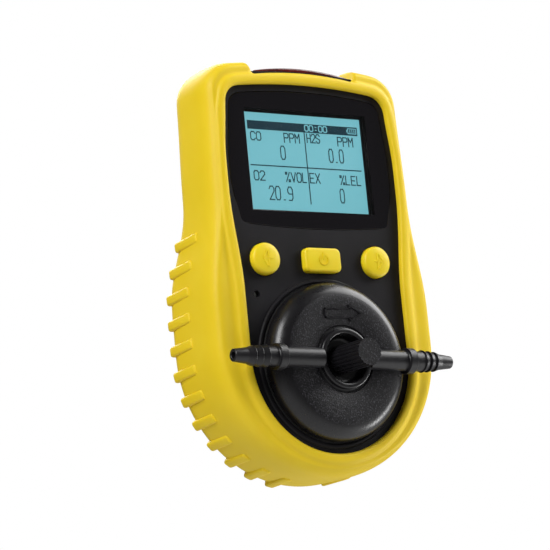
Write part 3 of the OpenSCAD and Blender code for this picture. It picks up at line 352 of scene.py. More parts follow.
def piece(name, bm, body, finishes, replaced=(), sharp=35, tidy=True):
    """Makes a finished piece of a shape drawn in millimetres."""
    if tidy:
        bmesh.ops.remove_doubles(bm, verts=bm.verts, dist=0.0005)
        bmesh.ops.recalc_face_normals(bm, faces=bm.faces)
    settle(bm)
    for face in bm.faces:
        face.smooth = True
    mesh = bpy.data.meshes.new(name)
    bm.to_mesh(mesh)
    bm.free()
    mesh.set_sharp_from_angle(angle=math.radians(sharp))
    for finish in finishes:
        mesh.materials.append(finish)
    made = bpy.data.objects.new(name, mesh)
    bpy.context.scene.collection.objects.link(made)
    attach(made, body)
    if replaced:
        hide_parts(*replaced)
    return made


def loft(sections):
    """A closed sheet laid over sections that run round in a ring, each of them a ring too."""
    bm = bmesh.new()
    rings, rows = len(sections), len(sections[0])
    bmesh.ops.create_grid(bm, x_segments=rings, y_segments=rows, size=1.0)
    bm.verts.ensure_lookup_table()
    for vert in bm.verts:
        col = round((vert.co.x + 1) / 2 * rings) % rings
        row = round((vert.co.y + 1) / 2 * rows) % rows
        vert.co = sections[col][row]
    return bm


# Silicone rubber, compression moulded: satin, slightly translucent, with a faint flow of the
# pigment and a very fine grain
silicone, place = new_finish("moulded_yellow_silicone")
flow = wire(silicone, "ShaderNodeTexNoise", {"Scale": 70.0, "Detail": 3.0}, {"Vector": place})
grain = wire(silicone, "ShaderNodeTexNoise", {"Scale": 3200.0, "Detail": 2.0}, {"Vector": place})
gloss = wire(silicone, "ShaderNodeMapRange", {"To Min": 0.4, "To Max": 0.56},
             {"Value": grain.outputs["Fac"]})
skin = wire(silicone, "ShaderNodeBump", {"Strength": 1.0, "Distance": 0.000008},
            {"Height": grain.outputs["Fac"]})
coat(silicone, wire(silicone, "ShaderNodeBsdfPrincipled",
                    {"IOR": 1.41, "Subsurface Weight": 0.12, "Subsurface Scale": 0.0012,
                     "Subsurface Radius": (1.0, 0.7, 0.2), "Specular IOR Level": 0.35},
                    {"Base Color": blend_colours(silicone, flow.outputs["Fac"], "#f0cf22",
                                                 "#f4d42c"),
                     "Roughness": gloss.outputs["Result"], "Normal": skin.outputs["Normal"]}))

bm = loft([boot_section(k) for k in range(len(mouth))])
boot = piece("boot", bm, "housing", [silicone], ["rubber_boot"], sharp=80)
rounding = boot.modifiers.new("rounding", "SUBSURF")
rounding.levels = rounding.render_levels = 2

# Ribs, 3.3 mm wide with rounded ends, every 8 mm from the level of the keys round the belly
RIB_COUNT = 12
RIB_PITCH = 8.0
RIB_FIRST = 11.1
RIB_LENGTH = 12.5
RIB_WIDTH = 3.3
RIB_SLANT = 4
RIB_DEPTH = 3.4
# The front end leans back by this much, the edges are rounded, and the bar is sunk in the wall
RIB_LEAN = 0.35
RIB_EDGE = 0.85
RIB_SINK = 0.82
# Share of the rear radius that the ribs reach round
RIB_REACH = 0.62


def rib_place(k):
    run = RIB_PITCH * (RIB_COUNT - 1 - k) + RIB_FIRST
    quarter = boot_shape["low_r"] * math.pi / 2
    if run <= quarter:
        a = -math.pi / 2 + run / boot_shape["low_r"]
        return (boot_shape["low_r"] * math.cos(a),
                boot_shape["low_z"] + boot_shape["low_r"] * math.sin(a), a)
    z = boot_shape["low_z"] + run - quarter
    return half_width(boot_shape, z), z, 0.0


bm = bmesh.new()
for k in range(RIB_COUNT):
    for side in (1, -1):
        x, z, turn = rib_place(k)
        bar = bmesh.ops.create_cube(bm, size=1.0)["verts"]
        bmesh.ops.scale(bm, verts=bar, vec=(RIB_DEPTH, RIB_LENGTH, RIB_WIDTH))
        corners = [v for v in bar if v.co.y < 0 and v.co.x > 0]
        bmesh.ops.translate(bm, verts=corners, vec=(-RIB_LEAN, 0, 0))
        edges = list(dict.fromkeys(e for v in bar for e in v.link_edges))
        made = bmesh.ops.bevel(bm, geom=edges, affect="EDGES", offset=RIB_EDGE, segments=3,
                               profile=0.5, material=-1)
        bar = list({v for f in made["faces"] for v in f.verts} | {v for v in bar if v.is_valid})
        y = boot_back(z) - REAR_RADIUS * RIB_REACH - RIB_LENGTH / 2 + 1.4
        turns = Matrix.Rotation(-turn, 4, "Y") @ Matrix.Rotation(-math.radians(RIB_SLANT), 4, "X")
        bar_place = Matrix.Translation((x, y, z)) @ turns @ Matrix.Translation((-RIB_SINK, 0, 0))
        if side < 0:
            bar_place = Matrix.Scale(-1, 4, (1, 0, 0)) @ bar_place
        bmesh.ops.transform(bm, matrix=bar_place, verts=bar)
piece("boot_ribs", bm, "housing", [silicone], sharp=60)

# ---- Display ----
# A hard coated acrylic window is stuck into the front panel. It is printed black behind, except
# over the LCD, whose lit cyan area has dark cells that are driven in rows and columns.

LCD_Z = 64.0
LCD_Y = -17.92
LCD_W, LCD_H = 44.5, 31.0
# The window: half widths below and above, heights below and above, and corner radii
WINDOW_LOW, WINDOW_HIGH = 28.1, 30.3
WINDOW_FOOT_Z, WINDOW_TOP_Z = 42.3, 86.5
WINDOW_LOW_R, WINDOW_TOP_R = 2.4, 5
WINDOW_DRAW_IN = 1.5
# The hole in the print is a little larger than the LCD's lit area, and flares behind
HOLE_X, HOLE_Z, HOLE_FLARE = 23.0, 16.2, 1.08
WINDOW_T = 1.4


def window_outline(out):
    """The window's edge in millimetres, from the bottom up the right side and back."""
    low, half = WINDOW_LOW - WINDOW_LOW_R, WINDOW_HIGH - WINDOW_DRAW_IN - WINDOW_TOP_R
    low_r, top_r = WINDOW_LOW_R + out, WINDOW_TOP_R + out
    edge = [(x, WINDOW_FOOT_Z - out + x * x / 600) for x in [low * k / 8 for k in range(9)]]
    edge += [(low + low_r * math.cos(math.radians(a)), 45.8 + low_r * math.sin(math.radians(a)))
             for a in range(-75, 1, 15)]
    for k in range(1, 10):
        z = mix(47.3, 79.0, k / 9)
        spread = (WINDOW_HIGH - WINDOW_LOW) * smooth_step(43, 58, z)
        edge.append((WINDOW_LOW + out + spread - WINDOW_DRAW_IN * smooth_step(64, 82, z), z))
    edge += [(half + top_r * math.cos(math.radians(a)), 80.0 + top_r * math.sin(math.radians(a)))
             for a in range(10, 81, 10)]
    edge += [(x, WINDOW_TOP_Z + out - x * x / 400)
             for x in [half * (1 - k / 8) for k in range(1, 9)]]
    return edge + [(-x, z) for x, z in edge[-2:0:-1]]


def sheet_with_hole(outer, inner, y0, y1):
    """A plate between two depths, cut to an outline with a hole."""
    bm = bmesh.new()
    for loop in (outer, inner):
        ring = [bm.verts.new((x, y0, z)) for x, z in loop]
        for a, b in zip(ring, ring[1:] + ring[:1]):
            bm.edges.new((a, b))
    bmesh.ops.triangle_fill(bm, edges=bm.edges[:], use_beauty=True)
    grown = bmesh.ops.extrude_face_region(bm, geom=bm.faces[:])["geom"]
    bmesh.ops.translate(bm, verts=[v for v in grown if isinstance(v, bmesh.types.BMVert)],
                        vec=(0, y1 - y0, 0))
    return bm


def box(bm, x0, x1, y0, y1, z0, z1):
    made = bmesh.ops.create_cube(bm, size=1.0)["verts"]
    bmesh.ops.scale(bm, verts=made, vec=(x1 - x0, y1 - y0, z1 - z0))
    bmesh.ops.translate(bm, verts=made, vec=((x0 + x1) / 2, (y0 + y1) / 2, (z0 + z1) / 2))
    return made


# Acrylic with a hard coat: a deep black mirror with the faintest orange peel and wipe marks
black_acrylic, place = new_finish("black_printed_acrylic")
peel = wire(black_acrylic, "ShaderNodeTexNoise", {"Scale": 120.0, "Detail": 1.0},
            {"Vector": place})
wipe = wire(black_acrylic, "ShaderNodeMapRange", {"To Min": 0.04, "To Max": 0.1},
            {"Value": peel.outputs["Fac"]})
wave = wire(black_acrylic, "ShaderNodeBump", {"Strength": 0.2, "Distance": 0.00002},
            {"Height": peel.outputs["Fac"]})
coat(black_acrylic, wire(black_acrylic, "ShaderNodeBsdfPrincipled",
                         {"Base Color": paint("#100e12"), "IOR": 1.49, "Coat Weight": 0.5,
                          "Coat Roughness": 0.03, "Specular IOR Level": 0.4},
                         {"Roughness": wipe.outputs["Result"], "Normal": wave.outputs["Normal"]}))
hole = [(x * HOLE_X, LCD_Z + z * HOLE_Z) for x, z in [(-1, -1), (1, -1), (1, 1), (-1, 1)]]
bm = sheet_with_hole(window_outline(-0.12), hole, PANEL_Y - 0.02, PANEL_Y + WINDOW_T)
for vert in bm.verts:
    behind = vert.co.y > PANEL_Y + 1
    if behind and abs(vert.co.x) < HOLE_X + 0.1 and abs(vert.co.z - LCD_Z) < HOLE_Z + 0.1:
        vert.co.x *= HOLE_FLARE
        vert.co.z = LCD_Z + (vert.co.z - LCD_Z) * HOLE_FLARE
window = piece("window_print", bm, "housing", [black_acrylic],
               ["display_window"], sharp=20)
edge = window.modifiers.new("edge", "BEVEL")
edge.width, edge.segments, edge.limit_method = 0.00018, 2, "ANGLE"

# Clear acrylic over the lit area: only its gloss shows
clear_acrylic, place = new_finish("clear_hard_coated_acrylic")
haze = wire(clear_acrylic, "ShaderNodeTexNoise", {"Scale": 120.0, "Detail": 1.0},
            {"Vector": place})
mist = wire(clear_acrylic, "ShaderNodeMapRange", {"To Min": 0.02, "To Max": 0.06},
            {"Value": haze.outputs["Fac"]})
coat(clear_acrylic, wire(clear_acrylic, "ShaderNodeBsdfPrincipled",
                         {"Base Color": paint("#ffffff"), "IOR": 1.3, "Transmission Weight": 1.0,
                          "Specular IOR Level": 0.3},
                         {"Roughness": mist.outputs["Result"]}))
bm = bmesh.new()
clear_x, clear_z = HOLE_X + 0.1, HOLE_Z + 0.1
box(bm, -clear_x, clear_x, PANEL_Y + 0.02, PANEL_Y + 0.1, LCD_Z - clear_z, LCD_Z + clear_z)
piece("window_clear", bm, "housing", [clear_acrylic])

# LCD polariser: cyan, lit from behind, with its cells as a faint 0.35 mm grid
CELL_MM = 0.35
# A gap between cells passes this share of the light
GAP_LIGHT = 0.9
lcd_cyan, place = new_finish("lit_cyan_lcd")
cells = wire(lcd_cyan, "ShaderNodeMapping",
             {"Scale": (1000 / CELL_MM, 0.0, 1000 / CELL_MM)}, {"Vector": place})
grid = wire(lcd_cyan, "ShaderNodeTexBrick",
            {"offset": 0.0, "squash": 1.0, "Color1": paint("#ffffff"), "Color2": paint("#ffffff"),
             "Mortar": (GAP_LIGHT,) * 3 + (1.0,), "Scale": 1.0, "Mortar Size": 0.06,
             "Brick Width": 1.0, "Row Height": 1.0})
spread = wire(lcd_cyan, "ShaderNodeSeparateXYZ", {}, {"Vector": cells.outputs["Vector"]})
flat = wire(lcd_cyan, "ShaderNodeCombineXYZ", {},
            {"X": spread.outputs["X"], "Y": spread.outputs["Z"]})
lcd_cyan.node_tree.links.new(flat.outputs["Vector"], grid.inputs["Vector"])
patch = wire(lcd_cyan, "ShaderNodeTexNoise", {"Scale": 40.0, "Detail": 1.0}, {"Vector": place})
glow = blend_colours(lcd_cyan, patch.outputs["Fac"], "#72bbc6", "#77bfcb")
lit = wire(lcd_cyan, "ShaderNodeMix", {"data_type": "RGBA", "blend_type": "MULTIPLY",
                                      "Factor": 1.0})
lcd_cyan.node_tree.links.new(glow, lit.inputs[6])
lcd_cyan.node_tree.links.new(grid.outputs["Color"], lit.inputs[7])
coat(lcd_cyan, wire(lcd_cyan, "ShaderNodeBsdfPrincipled",
                    {"Base Color": paint("#1d3a40"), "Roughness": 0.5, "Emission Strength": 0.95},
                    {"Emission Color": lit.outputs[2]}))
# LCD cells that are switched on: dark blue-grey
lcd_ink, place = new_finish("dark_lcd_cells")
speck = wire(lcd_ink, "ShaderNodeTexNoise", {"Scale": 3000.0}, {"Vector": place})
coat(lcd_ink, wire(lcd_ink, "ShaderNodeBsdfPrincipled",
                   {"Roughness": 0.5, "Emission Strength": 0.5, "Specular IOR Level": 0.2},
                   {"Base Color": blend_colours(lcd_ink, speck.outputs["Fac"], "#152a33",
                                                "#1b343f"),
                    "Emission Color": blend_colours(lcd_ink, speck.outputs["Fac"], "#1a3540",
                                                    "#22404c")}))
# Glass outside the lit area: black mask
lcd_mask = moulded("black_lcd_mask", "#0b0b0d", "#101013", (0.3, 0.4), 2.0, 0.002)
dress(lcd_mask, "lcd_glass")

bm = bmesh.new()
box(bm, -LCD_W / 2, LCD_W / 2, LCD_Y, LCD_Y + 0.1, LCD_Z - LCD_H / 2, LCD_Z + LCD_H / 2)
piece("lcd_picture", bm, "housing", [lcd_cyan])

# Letters and figures are strokes on a field 4 wide and 8 high. They are bars this thick and wide,
# with wider bars for the rules and narrower ones for the battery sign.
INK_T = 0.03
LETTER_BAR, RULE_BAR, HEADER_BAR, BATTERY_BAR = 0.36, 0.38, 0.34, 0.26
strokes = {
    "0": [[(1, 0), (3, 0), (4, 1.5), (4, 6.5), (3, 8), (1, 8), (0, 6.5), (0, 1.5), (1, 0)]],
    "2": [[(0, 6.5), (1, 8), (3, 8), (4, 6.8), (4, 5.2), (0, 0), (4, 0)]],
    "9": [[(0.6, 0), (3, 0), (4, 1.5), (4, 6.5), (3, 8), (1, 8), (0, 6.5), (0, 5), (1, 3.8),
           (4, 3.8)]],
    "C": [[(4, 1.5), (3, 0), (1, 0), (0, 1.5), (0, 6.5), (1, 8), (3, 8), (4, 6.5)]],
    "P": [[(0, 0), (0, 8), (3, 8), (4, 7), (4, 5), (3, 4), (0, 4)]],
    "M": [[(0, 0), (0, 8), (2, 4), (4, 8), (4, 0)]],
    "H": [[(0, 0), (0, 8)], [(4, 0), (4, 8)], [(0, 4), (4, 4)]],
    "S": [[(4, 6.5), (3, 8), (1, 8), (0, 6.5), (0, 5), (4, 3), (4, 1.5), (3, 0), (1, 0),
           (0, 1.5)]],
    "V": [[(0, 8), (2, 0), (4, 8)]],
    "L": [[(0, 8), (0, 0), (3.3, 0)]],
    "E": [[(3.6, 8), (0, 8), (0, 0), (3.6, 0)], [(0, 4), (3, 4)]],
    "X": [[(0, 8), (4, 0)], [(0, 0), (4, 8)]],
    "%": [[(0.4, 0), (3.6, 8)], [(0, 6.4), (0, 8), (1.2, 8), (1.2, 6.4), (0, 6.4)],
          [(2.8, 0), (2.8, 1.6), (4, 1.6), (4, 0), (2.8, 0)]],
    ".": [[(1.6, 0.1), (2.4, 0.1)]],
    ":": [[(1.6, 2), (2.4, 2)], [(1.6, 6), (2.4, 6)]],
}
strokes["O"] = strokes["0"]


def stroke(bm, a, b, y, width, depth):
    """A flat bar from a to b on the plane at y, with its ends run on by half its width."""
    length = math.hypot(b[0] - a[0], b[1] - a[1])
    angle = math.atan2(b[1] - a[1], b[0] - a[0])
    made = bmesh.ops.create_cube(bm, size=1.0)["verts"]
    bmesh.ops.scale(bm, verts=made, vec=(length + width, depth, width))
    spot = Matrix.Translation(((a[0] + b[0]) / 2, y - depth / 2, (a[1] + b[1]) / 2))
    bmesh.ops.transform(bm, matrix=spot @ Matrix.Rotation(-angle, 4, "Y"), verts=made)


def write(bm, text, x0, x1, z0, z1, width):
    """Writes text between two sides and two heights of the lit area."""
    wide = (x1 - x0 - width) / (len(text) + 0.32 * (len(text) - 1))
    for k, sign in enumerate(text):
        left = x0 + width / 2 + k * wide * 1.32
        for line in strokes[sign]:
            spots = [(left + p * wide / 4, LCD_Z + z0 + width / 2 + q * (z1 - z0 - width) / 8)
                     for p, q in line]
            for a, b in zip(spots, spots[1:]):
                stroke(bm, a, b, LCD_Y, width, INK_T)


bm = bmesh.new()
for text, x0, x1, z0, z1 in [
        ("CO", -20.2, -16.1, 6.4, 9.4), ("PPM", -7.7, -1.6, 6.3, 9.5), ("0", -9.5, -7.5, 0.7, 5.3),
        ("H2S", 1.0, 6.2, 6.7, 9.8), ("PPM", 12.8, 19.0, 6.2, 9.4), ("0.0", 8.9, 14.8, 0.7, 5.3),
        ("O2", -20.3, -16.0, -6.4, -3.1), ("%VOL", -8.5, -0.2, -6.4, -3.1),
        ("20.9", -15.2, -6.2, -12.4, -7.8), ("EX", 0.7, 4.8, -6.4, -3.0),
        ("%LEL", 12.3, 20.8, -6.4, -3.2), ("0", 11.7, 13.6, -12.4, -7.6)]:
    write(bm, text, x0, x1, z0, z1, LETTER_BAR)
stroke(bm, (0.3, LCD_Z + 10.0), (0.3, LCD_Z - 13.0), LCD_Y, RULE_BAR, INK_T)
stroke(bm, (-20.9, LCD_Z - 1.45), (21.0, LCD_Z - 1.45), LCD_Y, RULE_BAR, INK_T)
box(bm, -20.95, 21.05, LCD_Y - INK_T, LCD_Y, LCD_Z + 10.05, LCD_Z + 12.85)
piece("lcd_marks", bm, "housing", [lcd_ink], tidy=False)

bm = bmesh.new()
write(bm, "00:00", 0.5, 9.3, 10.4, 12.6, HEADER_BAR)
# The battery: its case, its end and three bars of charge
for a, b in [((17.4, 10.7), (17.4, 12.3)), ((17.4, 12.3), (20.5, 12.3)),
             ((20.5, 12.3), (20.5, 10.7)), ((20.5, 10.7), (17.4, 10.7)),
             ((16.95, 11.2), (16.95, 11.8)), ((18.2, 11.1), (18.2, 11.9)),
             ((19.0, 11.1), (19.0, 11.9)), ((19.8, 11.1), (19.8, 11.9))]:
    stroke(bm, (a[0], LCD_Z + a[1]), (b[0], LCD_Z + b[1]), LCD_Y, BATTERY_BAR, INK_T)
bmesh.ops.translate(bm, verts=bm.verts, vec=(0, -INK_T, 0))
piece("lcd_header_marks", bm, "housing", [lcd_cyan], tidy=False)

# ---- Keys ----
# Three silicone keys stand through the panel on one keypad mat. Their signs are raised in the
# mould: an arrow to each side and a power sign in the middle.

KEY_Z = 32.2
KEY_X = 20.9
KEY_R = 5.0
KEY_PROUD = 2.1
# Half the power key's sides, and the width of the raised signs
POWER_X, POWER_Z = 6.75, 3.85
SIGN_BAR = 0.42


def turned(profile, steps, centre, axis):
    """Spins a line of (radius, distance along the axis) points into a solid of revolution."""
    bm = bmesh.new()
    axis = Vector(axis)
    side = Vector((0, 0, 1)) if abs(axis.z) < 0.5 else Vector((1, 0, 0))
    line = [bm.verts.new(side * r + axis * h) for r, h in profile]
    edges = [bm.edges.new(pair) for pair in zip(line, line[1:])]
    bmesh.ops.spin(bm, geom=line + edges, cent=(0, 0, 0), axis=axis, dvec=(0, 0, 0),
                   angle=math.tau, steps=steps, use_merge=True)
    bmesh.ops.remove_doubles(bm, verts=bm.verts, dist=0.0004)
    bmesh.ops.translate(bm, verts=bm.verts, vec=centre)
    return bm


def add_raised(bm, lines, x, z, y, width, height):
    for line in lines:
        for a, b in zip(line, line[1:]):
            stroke(bm, (x + a[0], z + a[1]), (x + b[0], z + b[1]), y, width, height)


# Silicone rubber for the keys: an even satin yellow, a little glossier than the boot
key_silicone = moulded("satin_key_silicone", "#f6da1f", "#f8dd2a", (0.34, 0.46), 0.3, 0.006,
                       cloud_mm=12.0, **{"IOR": 1.41, "Subsurface Weight": 0.1,
                                         "Subsurface Scale": 0.001})
dress(key_silicone, "keypad_mat")
key_top = -PANEL_Y + KEY_PROUD
key_line = [(0, key_top + 0.35), (1.5, key_top + 0.32), (3.0, key_top + 0.2),
            (4.2, key_top), (4.62, key_top - 0.2), (4.88, key_top - 0.55),
            (KEY_R, key_top - 1.1), (KEY_R, key_top - 3.4), (0, key_top - 3.4)]
arrow = [[(1.5, 0), (-1.6, 0)], [(-0.3, 2.2), (-1.6, 0), (-0.3, -2.2)], [(0.3, 2.4), (0.3, -2.4)]]
for name, side in (("left", -1), ("right", 1)):
    bm = turned(key_line, 64, (side * KEY_X, 0, KEY_Z), (0, -1, 0))
    piece(name + "_key_cap", bm, name + "_key", [key_silicone], [name + "_key"],
          sharp=60)
    bm = bmesh.new()
    lines = [[(-side * p, q) for p, q in line] for line in arrow]
    add_raised(bm, lines, side * KEY_X, KEY_Z, -key_top - 0.2, SIGN_BAR, 0.3)
    piece(name + "_key_sign", bm, name + "_key", [key_silicone], tidy=False)

bm = bmesh.new()
box(bm, -POWER_X, POWER_X, -key_top, PANEL_Y + 0.8, KEY_Z - POWER_Z, KEY_Z + POWER_Z)
upright = [e for e in bm.edges if abs((e.verts[0].co - e.verts[1].co).y) > 1]
bmesh.ops.bevel(bm, geom=upright, affect="EDGES", offset=1.8, segments=6, profile=0.5,
                material=-1)
brow = [e for e in bm.edges if all(v.co.y < -key_top + 0.01 for v in e.verts)
        and len(e.link_faces) == 2 and any(abs(f.normal.y) < 0.5 for f in e.link_faces)]
bmesh.ops.bevel(bm, geom=brow, affect="EDGES", offset=0.8, segments=4, profile=0.5, material=-1)
piece("power_key_cap", bm, "power_key", [key_silicone], ["power_key"], sharp=50)
RING_R = 1.6
ring = [(RING_R * math.sin(math.radians(a)), RING_R * math.cos(math.radians(a)))
        for a in range(40, 321, 20)]
bm = bmesh.new()
add_raised(bm, [ring, [(0, 2.1), (0, 0.2)]], 0, KEY_Z, -key_top + 0.05, SIGN_BAR, 0.25)
piece("power_key_sign", bm, "power_key", [key_silicone], tidy=False)

# ---- Alarm lens ----
# A clear red acrylic light pipe lies in the notch at the top, with three LEDs under it. It is
# moulded in one piece, and the boot's notch leaves its top and front edge open.

LENS_X = 17.9
LENS_FRONT_Y, LENS_BACK_Y = -19.6, -5.9
LENS_FOOT_Z, LENS_TOP_Z = 91.6, 94.4
LENS_CROWN = 95

# Red acrylic: painted light, its colour drifts in random patches from dark red to a bright red that
# stands in for light getting through
red_acrylic, place = new_finish("clear_red_acrylic")
# Painted light: this noise, not the thickness, sets where the red is bright
depth = wire(red_acrylic, "ShaderNodeTexNoise", {"Scale": 90.0, "Detail": 1.0},
             {"Vector": place})
coat(red_acrylic, wire(red_acrylic, "ShaderNodeBsdfPrincipled",
                       {"IOR": 1.49, "Roughness": 0.12, "Transmission Weight": 0.35,
                        "Coat Weight": 0.6, "Coat Roughness": 0.05, "Subsurface Weight": 0.2,
                        "Subsurface Scale": 0.003},
                       {"Base Color": blend_colours(red_acrylic, depth.outputs["Fac"],
                                                    "#4c090b", "#86110d")}))
bm = bmesh.new()
box(bm, -LENS_X, LENS_X, LENS_FRONT_Y, LENS_BACK_Y, LENS_FOOT_Z, LENS_TOP_Z)
across = [e for e in bm.edges if abs((e.verts[0].co - e.verts[1].co).x) > 1]
bmesh.ops.subdivide_edges(bm, edges=across, cuts=23, use_grid_fill=True)
for vert in bm.verts:
    if vert.co.z > 93.5:
        vert.co.z = LENS_TOP_Z - LENS_CROWN + math.sqrt(LENS_CROWN**2 - vert.co.x**2)
brow = [e for e in bm.edges if all(v.co.z > 92.4 for v in e.verts)
        and any(abs(f.normal.z) < 0.5 for f in e.link_faces)]
bmesh.ops.bevel(bm, geom=brow, affect="EDGES", offset=0.6, segments=3, profile=0.5, material=-1)
piece("alarm_light_pipe", bm, "housing", [red_acrylic], ["alarm_lens"], sharp=50)

# ---- Sensors ----
# Four plug-in sensor cans under one perforated cover. Three are electrochemical cells in plastic
# cans, the fourth is a bead in a sintered steel can. They show when the cap is off.

# Moulded plastic cans: warm pale grey
can_plastic = moulded("moulded_sensor_plastic", "#c4c1b2", "#d5d2c6", (0.4, 0.52), 0.4, 0.01)
# Turned steel can: satin with fine lines round it
can_steel = metal("satin_sensor_steel", "#7c7f83", "#9a9da1", (0.32, 0.5), 0.1, 1)
# Black ABS cover: the same mould grain as the case
cover_abs = moulded("spark_textured_cover_abs", "#1b1a1d", "#222124", (0.45, 0.6), 0.3, 0.02)
dress(can_plastic, "co_sensor", "h2s_sensor", "oxygen_sensor")
dress(can_steel, "combustible_sensor")
dress(cover_abs, "sensor_cover")

# ---- Calibration cap ----
# One nylon moulding that is screwed over the sensors to feed them test gas. Its dome and collar
# are polished in the mould and its face is spark textured. Two hose barbs stand out of the collar.

CAP_R = 24.8
CAP_H = 8.0
COLLAR_R = 9.4
COLLAR_H = 9.3
TUBE_H = 7.8
# The tubes slope a little, and end this far from the middle
CAP_TURN = math.radians(1.5)
TIP = 40.5
BARB_PITCH = 2.3

# Spark textured nylon: a coarse 0.35 mm grain, with painted glints: pale grey specks in the colour
# where the grain would catch the light
cap_grain_and_glints, place = new_finish("spark_textured_nylon_painted_glints")
pits = wire(cap_grain_and_glints, "ShaderNodeTexNoise", {"Scale": 1900.0, "Detail": 2.0, "Roughness": 0.7},
            {"Vector": place})
# Painted glints: where the grain is high, the colour turns pale grey
painted_glint = wire(cap_grain_and_glints, "ShaderNodeMapRange", {"From Min": 0.46, "From Max": 0.74},
             {"Value": pits.outputs["Fac"]})
rough = wire(cap_grain_and_glints, "ShaderNodeMapRange",
             {"From Min": 0.35, "From Max": 0.65, "To Min": 0.38, "To Max": 0.6},
             {"Value": pits.outputs["Fac"]})
relief = wire(cap_grain_and_glints, "ShaderNodeBump", {"Strength": 1.0, "Distance": 0.0001},
              {"Height": pits.outputs["Fac"]})
coat(cap_grain_and_glints, wire(cap_grain_and_glints, "ShaderNodeBsdfPrincipled",
                     {"IOR": 1.53, "Specular IOR Level": 0.32},
                     {"Base Color": blend_colours(cap_grain_and_glints, painted_glint.outputs["Result"],
                                                  "#0d0c0f", "#39373d"),
                      "Roughness": rough.outputs["Result"],
                      "Normal": relief.outputs["Normal"]}))
# Polished nylon: soft, slightly wavy gloss
cap_gloss = moulded("polished_black_nylon", "#121113", "#161518", (0.26, 0.34), 2.5, 0.003,
                    **{"IOR": 1.53, "Specular IOR Level": 0.45})
# Plain moulded nylon on the tubes
tube_gloss = moulded("moulded_black_nylon", "#131215", "#18171a", (0.3, 0.42), 0.5, 0.008,
                     **{"IOR": 1.53, "Specular IOR Level": 0.45})


def arc(r0, r1, h0, h1, steps):
    return [(r1 + (r0 - r1) * math.cos(math.pi / 2 * k / steps),
             h0 + (h1 - h0) * math.sin(math.pi / 2 * k / steps)) for k in range(steps + 1)]


shell = ([(23.0, 0.9), (24.4, 0.9), (24.75, 1.15), (CAP_R, 1.5)]
         + arc(CAP_R, 18.6, 2.4, CAP_H, 16)
         + [(18.0, CAP_H), (10.75, CAP_H), (10.5, CAP_H - 0.12), (10.4, CAP_H - 0.5),
            (COLLAR_R + 0.1, CAP_H - 0.5), (COLLAR_R, CAP_H - 0.4), (COLLAR_R, COLLAR_H - 0.5),
            (COLLAR_R - 0.12, COLLAR_H - 0.2), (COLLAR_R - 0.5, COLLAR_H), (8.2, COLLAR_H),
            (7.9, COLLAR_H - 0.12), (7.7, COLLAR_H - 0.4), (7.65, COLLAR_H - 1.0),
            (7.4, 6.4), (7.1, 5.7), (6.6, 5.2), (6.0, 5.0), (2.3, 5.0), (2.3, 4.05),
            (6.6, 4.05), (8.8, CAP_H - 1.8), (17.6, CAP_H - 1.8)]
         + arc(23.0, 17.6, 1.6, CAP_H - 1.8, 8)[::-1][1:])
bm = turned(shell + shell[:1], 144, (0, PANEL_Y, 0), (0, -1, 0))
for face in bm.faces:
    spot = face.calc_center_median()
    radius, height = math.hypot(spot.x, spot.z), -spot.y + PANEL_Y
    face.material_index = 0 if 10.6 < radius < 20.4 and height > CAP_H - 0.7 else 1
piece("cap_shell", bm, "cap", [cap_grain_and_glints, cap_gloss], ["calibration_cap"],
      sharp=50)

# Tube, stop ring, plain seat, three barbs and the tip, then back down the bore
barb_line = [(0, 8.9), (3.2, 8.9), (3.2, 22.6), (3.4, 22.75), (4.0, 22.8), (4.1, 22.95),
             (4.1, 25.3), (4.0, 25.45), (3.35, 25.5), (3.2, 25.65), (3.15, 29.0)]
for k in range(3):
    h = TIP - 11.4 + BARB_PITCH * k
    barb_line += [(3.5 - 0.2 * k, h), (3.56 - 0.2 * k, h + 0.15), (2.75 - 0.15 * k, h + 2.2)]
barb_line += [(2.4, TIP - 4.3), (2.4, TIP - 3.9), (1.95, TIP - 0.15), (1.82, TIP), (1.2, TIP),
              (1.1, TIP - 0.1), (1.1, TIP - 9), (0, TIP - 9)]
for name, side in (("left", -1), ("right", 1)):
    along = (side * math.cos(CAP_TURN), 0, -side * math.sin(CAP_TURN))
    bm = turned(barb_line, 48, (0, PANEL_Y - TUBE_H, 0), along)
    piece("hose_barb_" + name, bm, "cap", [tube_gloss], sharp=28)

# Flow arrow, raised 0.3 mm on the face
bm = bmesh.new()
arrow_line = [(-5.8, 12.8), (3.3, 12.8), (3.3, 11.7), (7.6, 14.2), (3.3, 16.7), (3.3, 15.6),
              (-5.8, 15.6), (-5.8, 12.8)]
add_raised(bm, [arrow_line], 0, 0, PANEL_Y - CAP_H + 0.02, 0.4, 0.3)
piece("flow_arrow", bm, "cap", [cap_gloss], tidy=False)

# ---- Thumb screw ----
# A knurled nylon knob is moulded on a steel stud. It stands through the cap's collar and screws
# into the brass insert of the sensor cover, which holds the cap down.

KNOB_TOP = 20.9
KNOB_R = 4.15
KNOB_LENGTH = 15.1
# Four points make one ridge of the knurl: its radii in turn
knurl = (4.3, 4.22, 4.0, 4.22)
bm = bmesh.new()
bmesh.ops.create_circle(bm, cap_ends=True, radius=KNOB_R, segments=88)
for k, vert in enumerate(sorted(bm.verts, key=lambda v: math.atan2(v.co.y, v.co.x))):
    vert.co *= knurl[k % 4] / KNOB_R
knob_end = bm.faces[:]
bmesh.ops.inset_region(bm, faces=knob_end, thickness=0.35, depth=0.0)
bmesh.ops.translate(bm, verts=list({v for f in knob_end for v in f.verts}), vec=(0, 0, 0.3))
rim_edges = [e for e in bm.edges if e.is_boundary]
grown = bmesh.ops.extrude_edge_only(bm, edges=rim_edges)["geom"]
foot = [v for v in grown if isinstance(v, bmesh.types.BMVert)]
bmesh.ops.translate(bm, verts=foot, vec=(0, 0, -KNOB_LENGTH))
bmesh.ops.contextual_create(bm, geom=[e for e in bm.edges if e.is_boundary])
bmesh.ops.translate(bm, verts=bm.verts, vec=(0, 0, KNOB_TOP - 0.3))
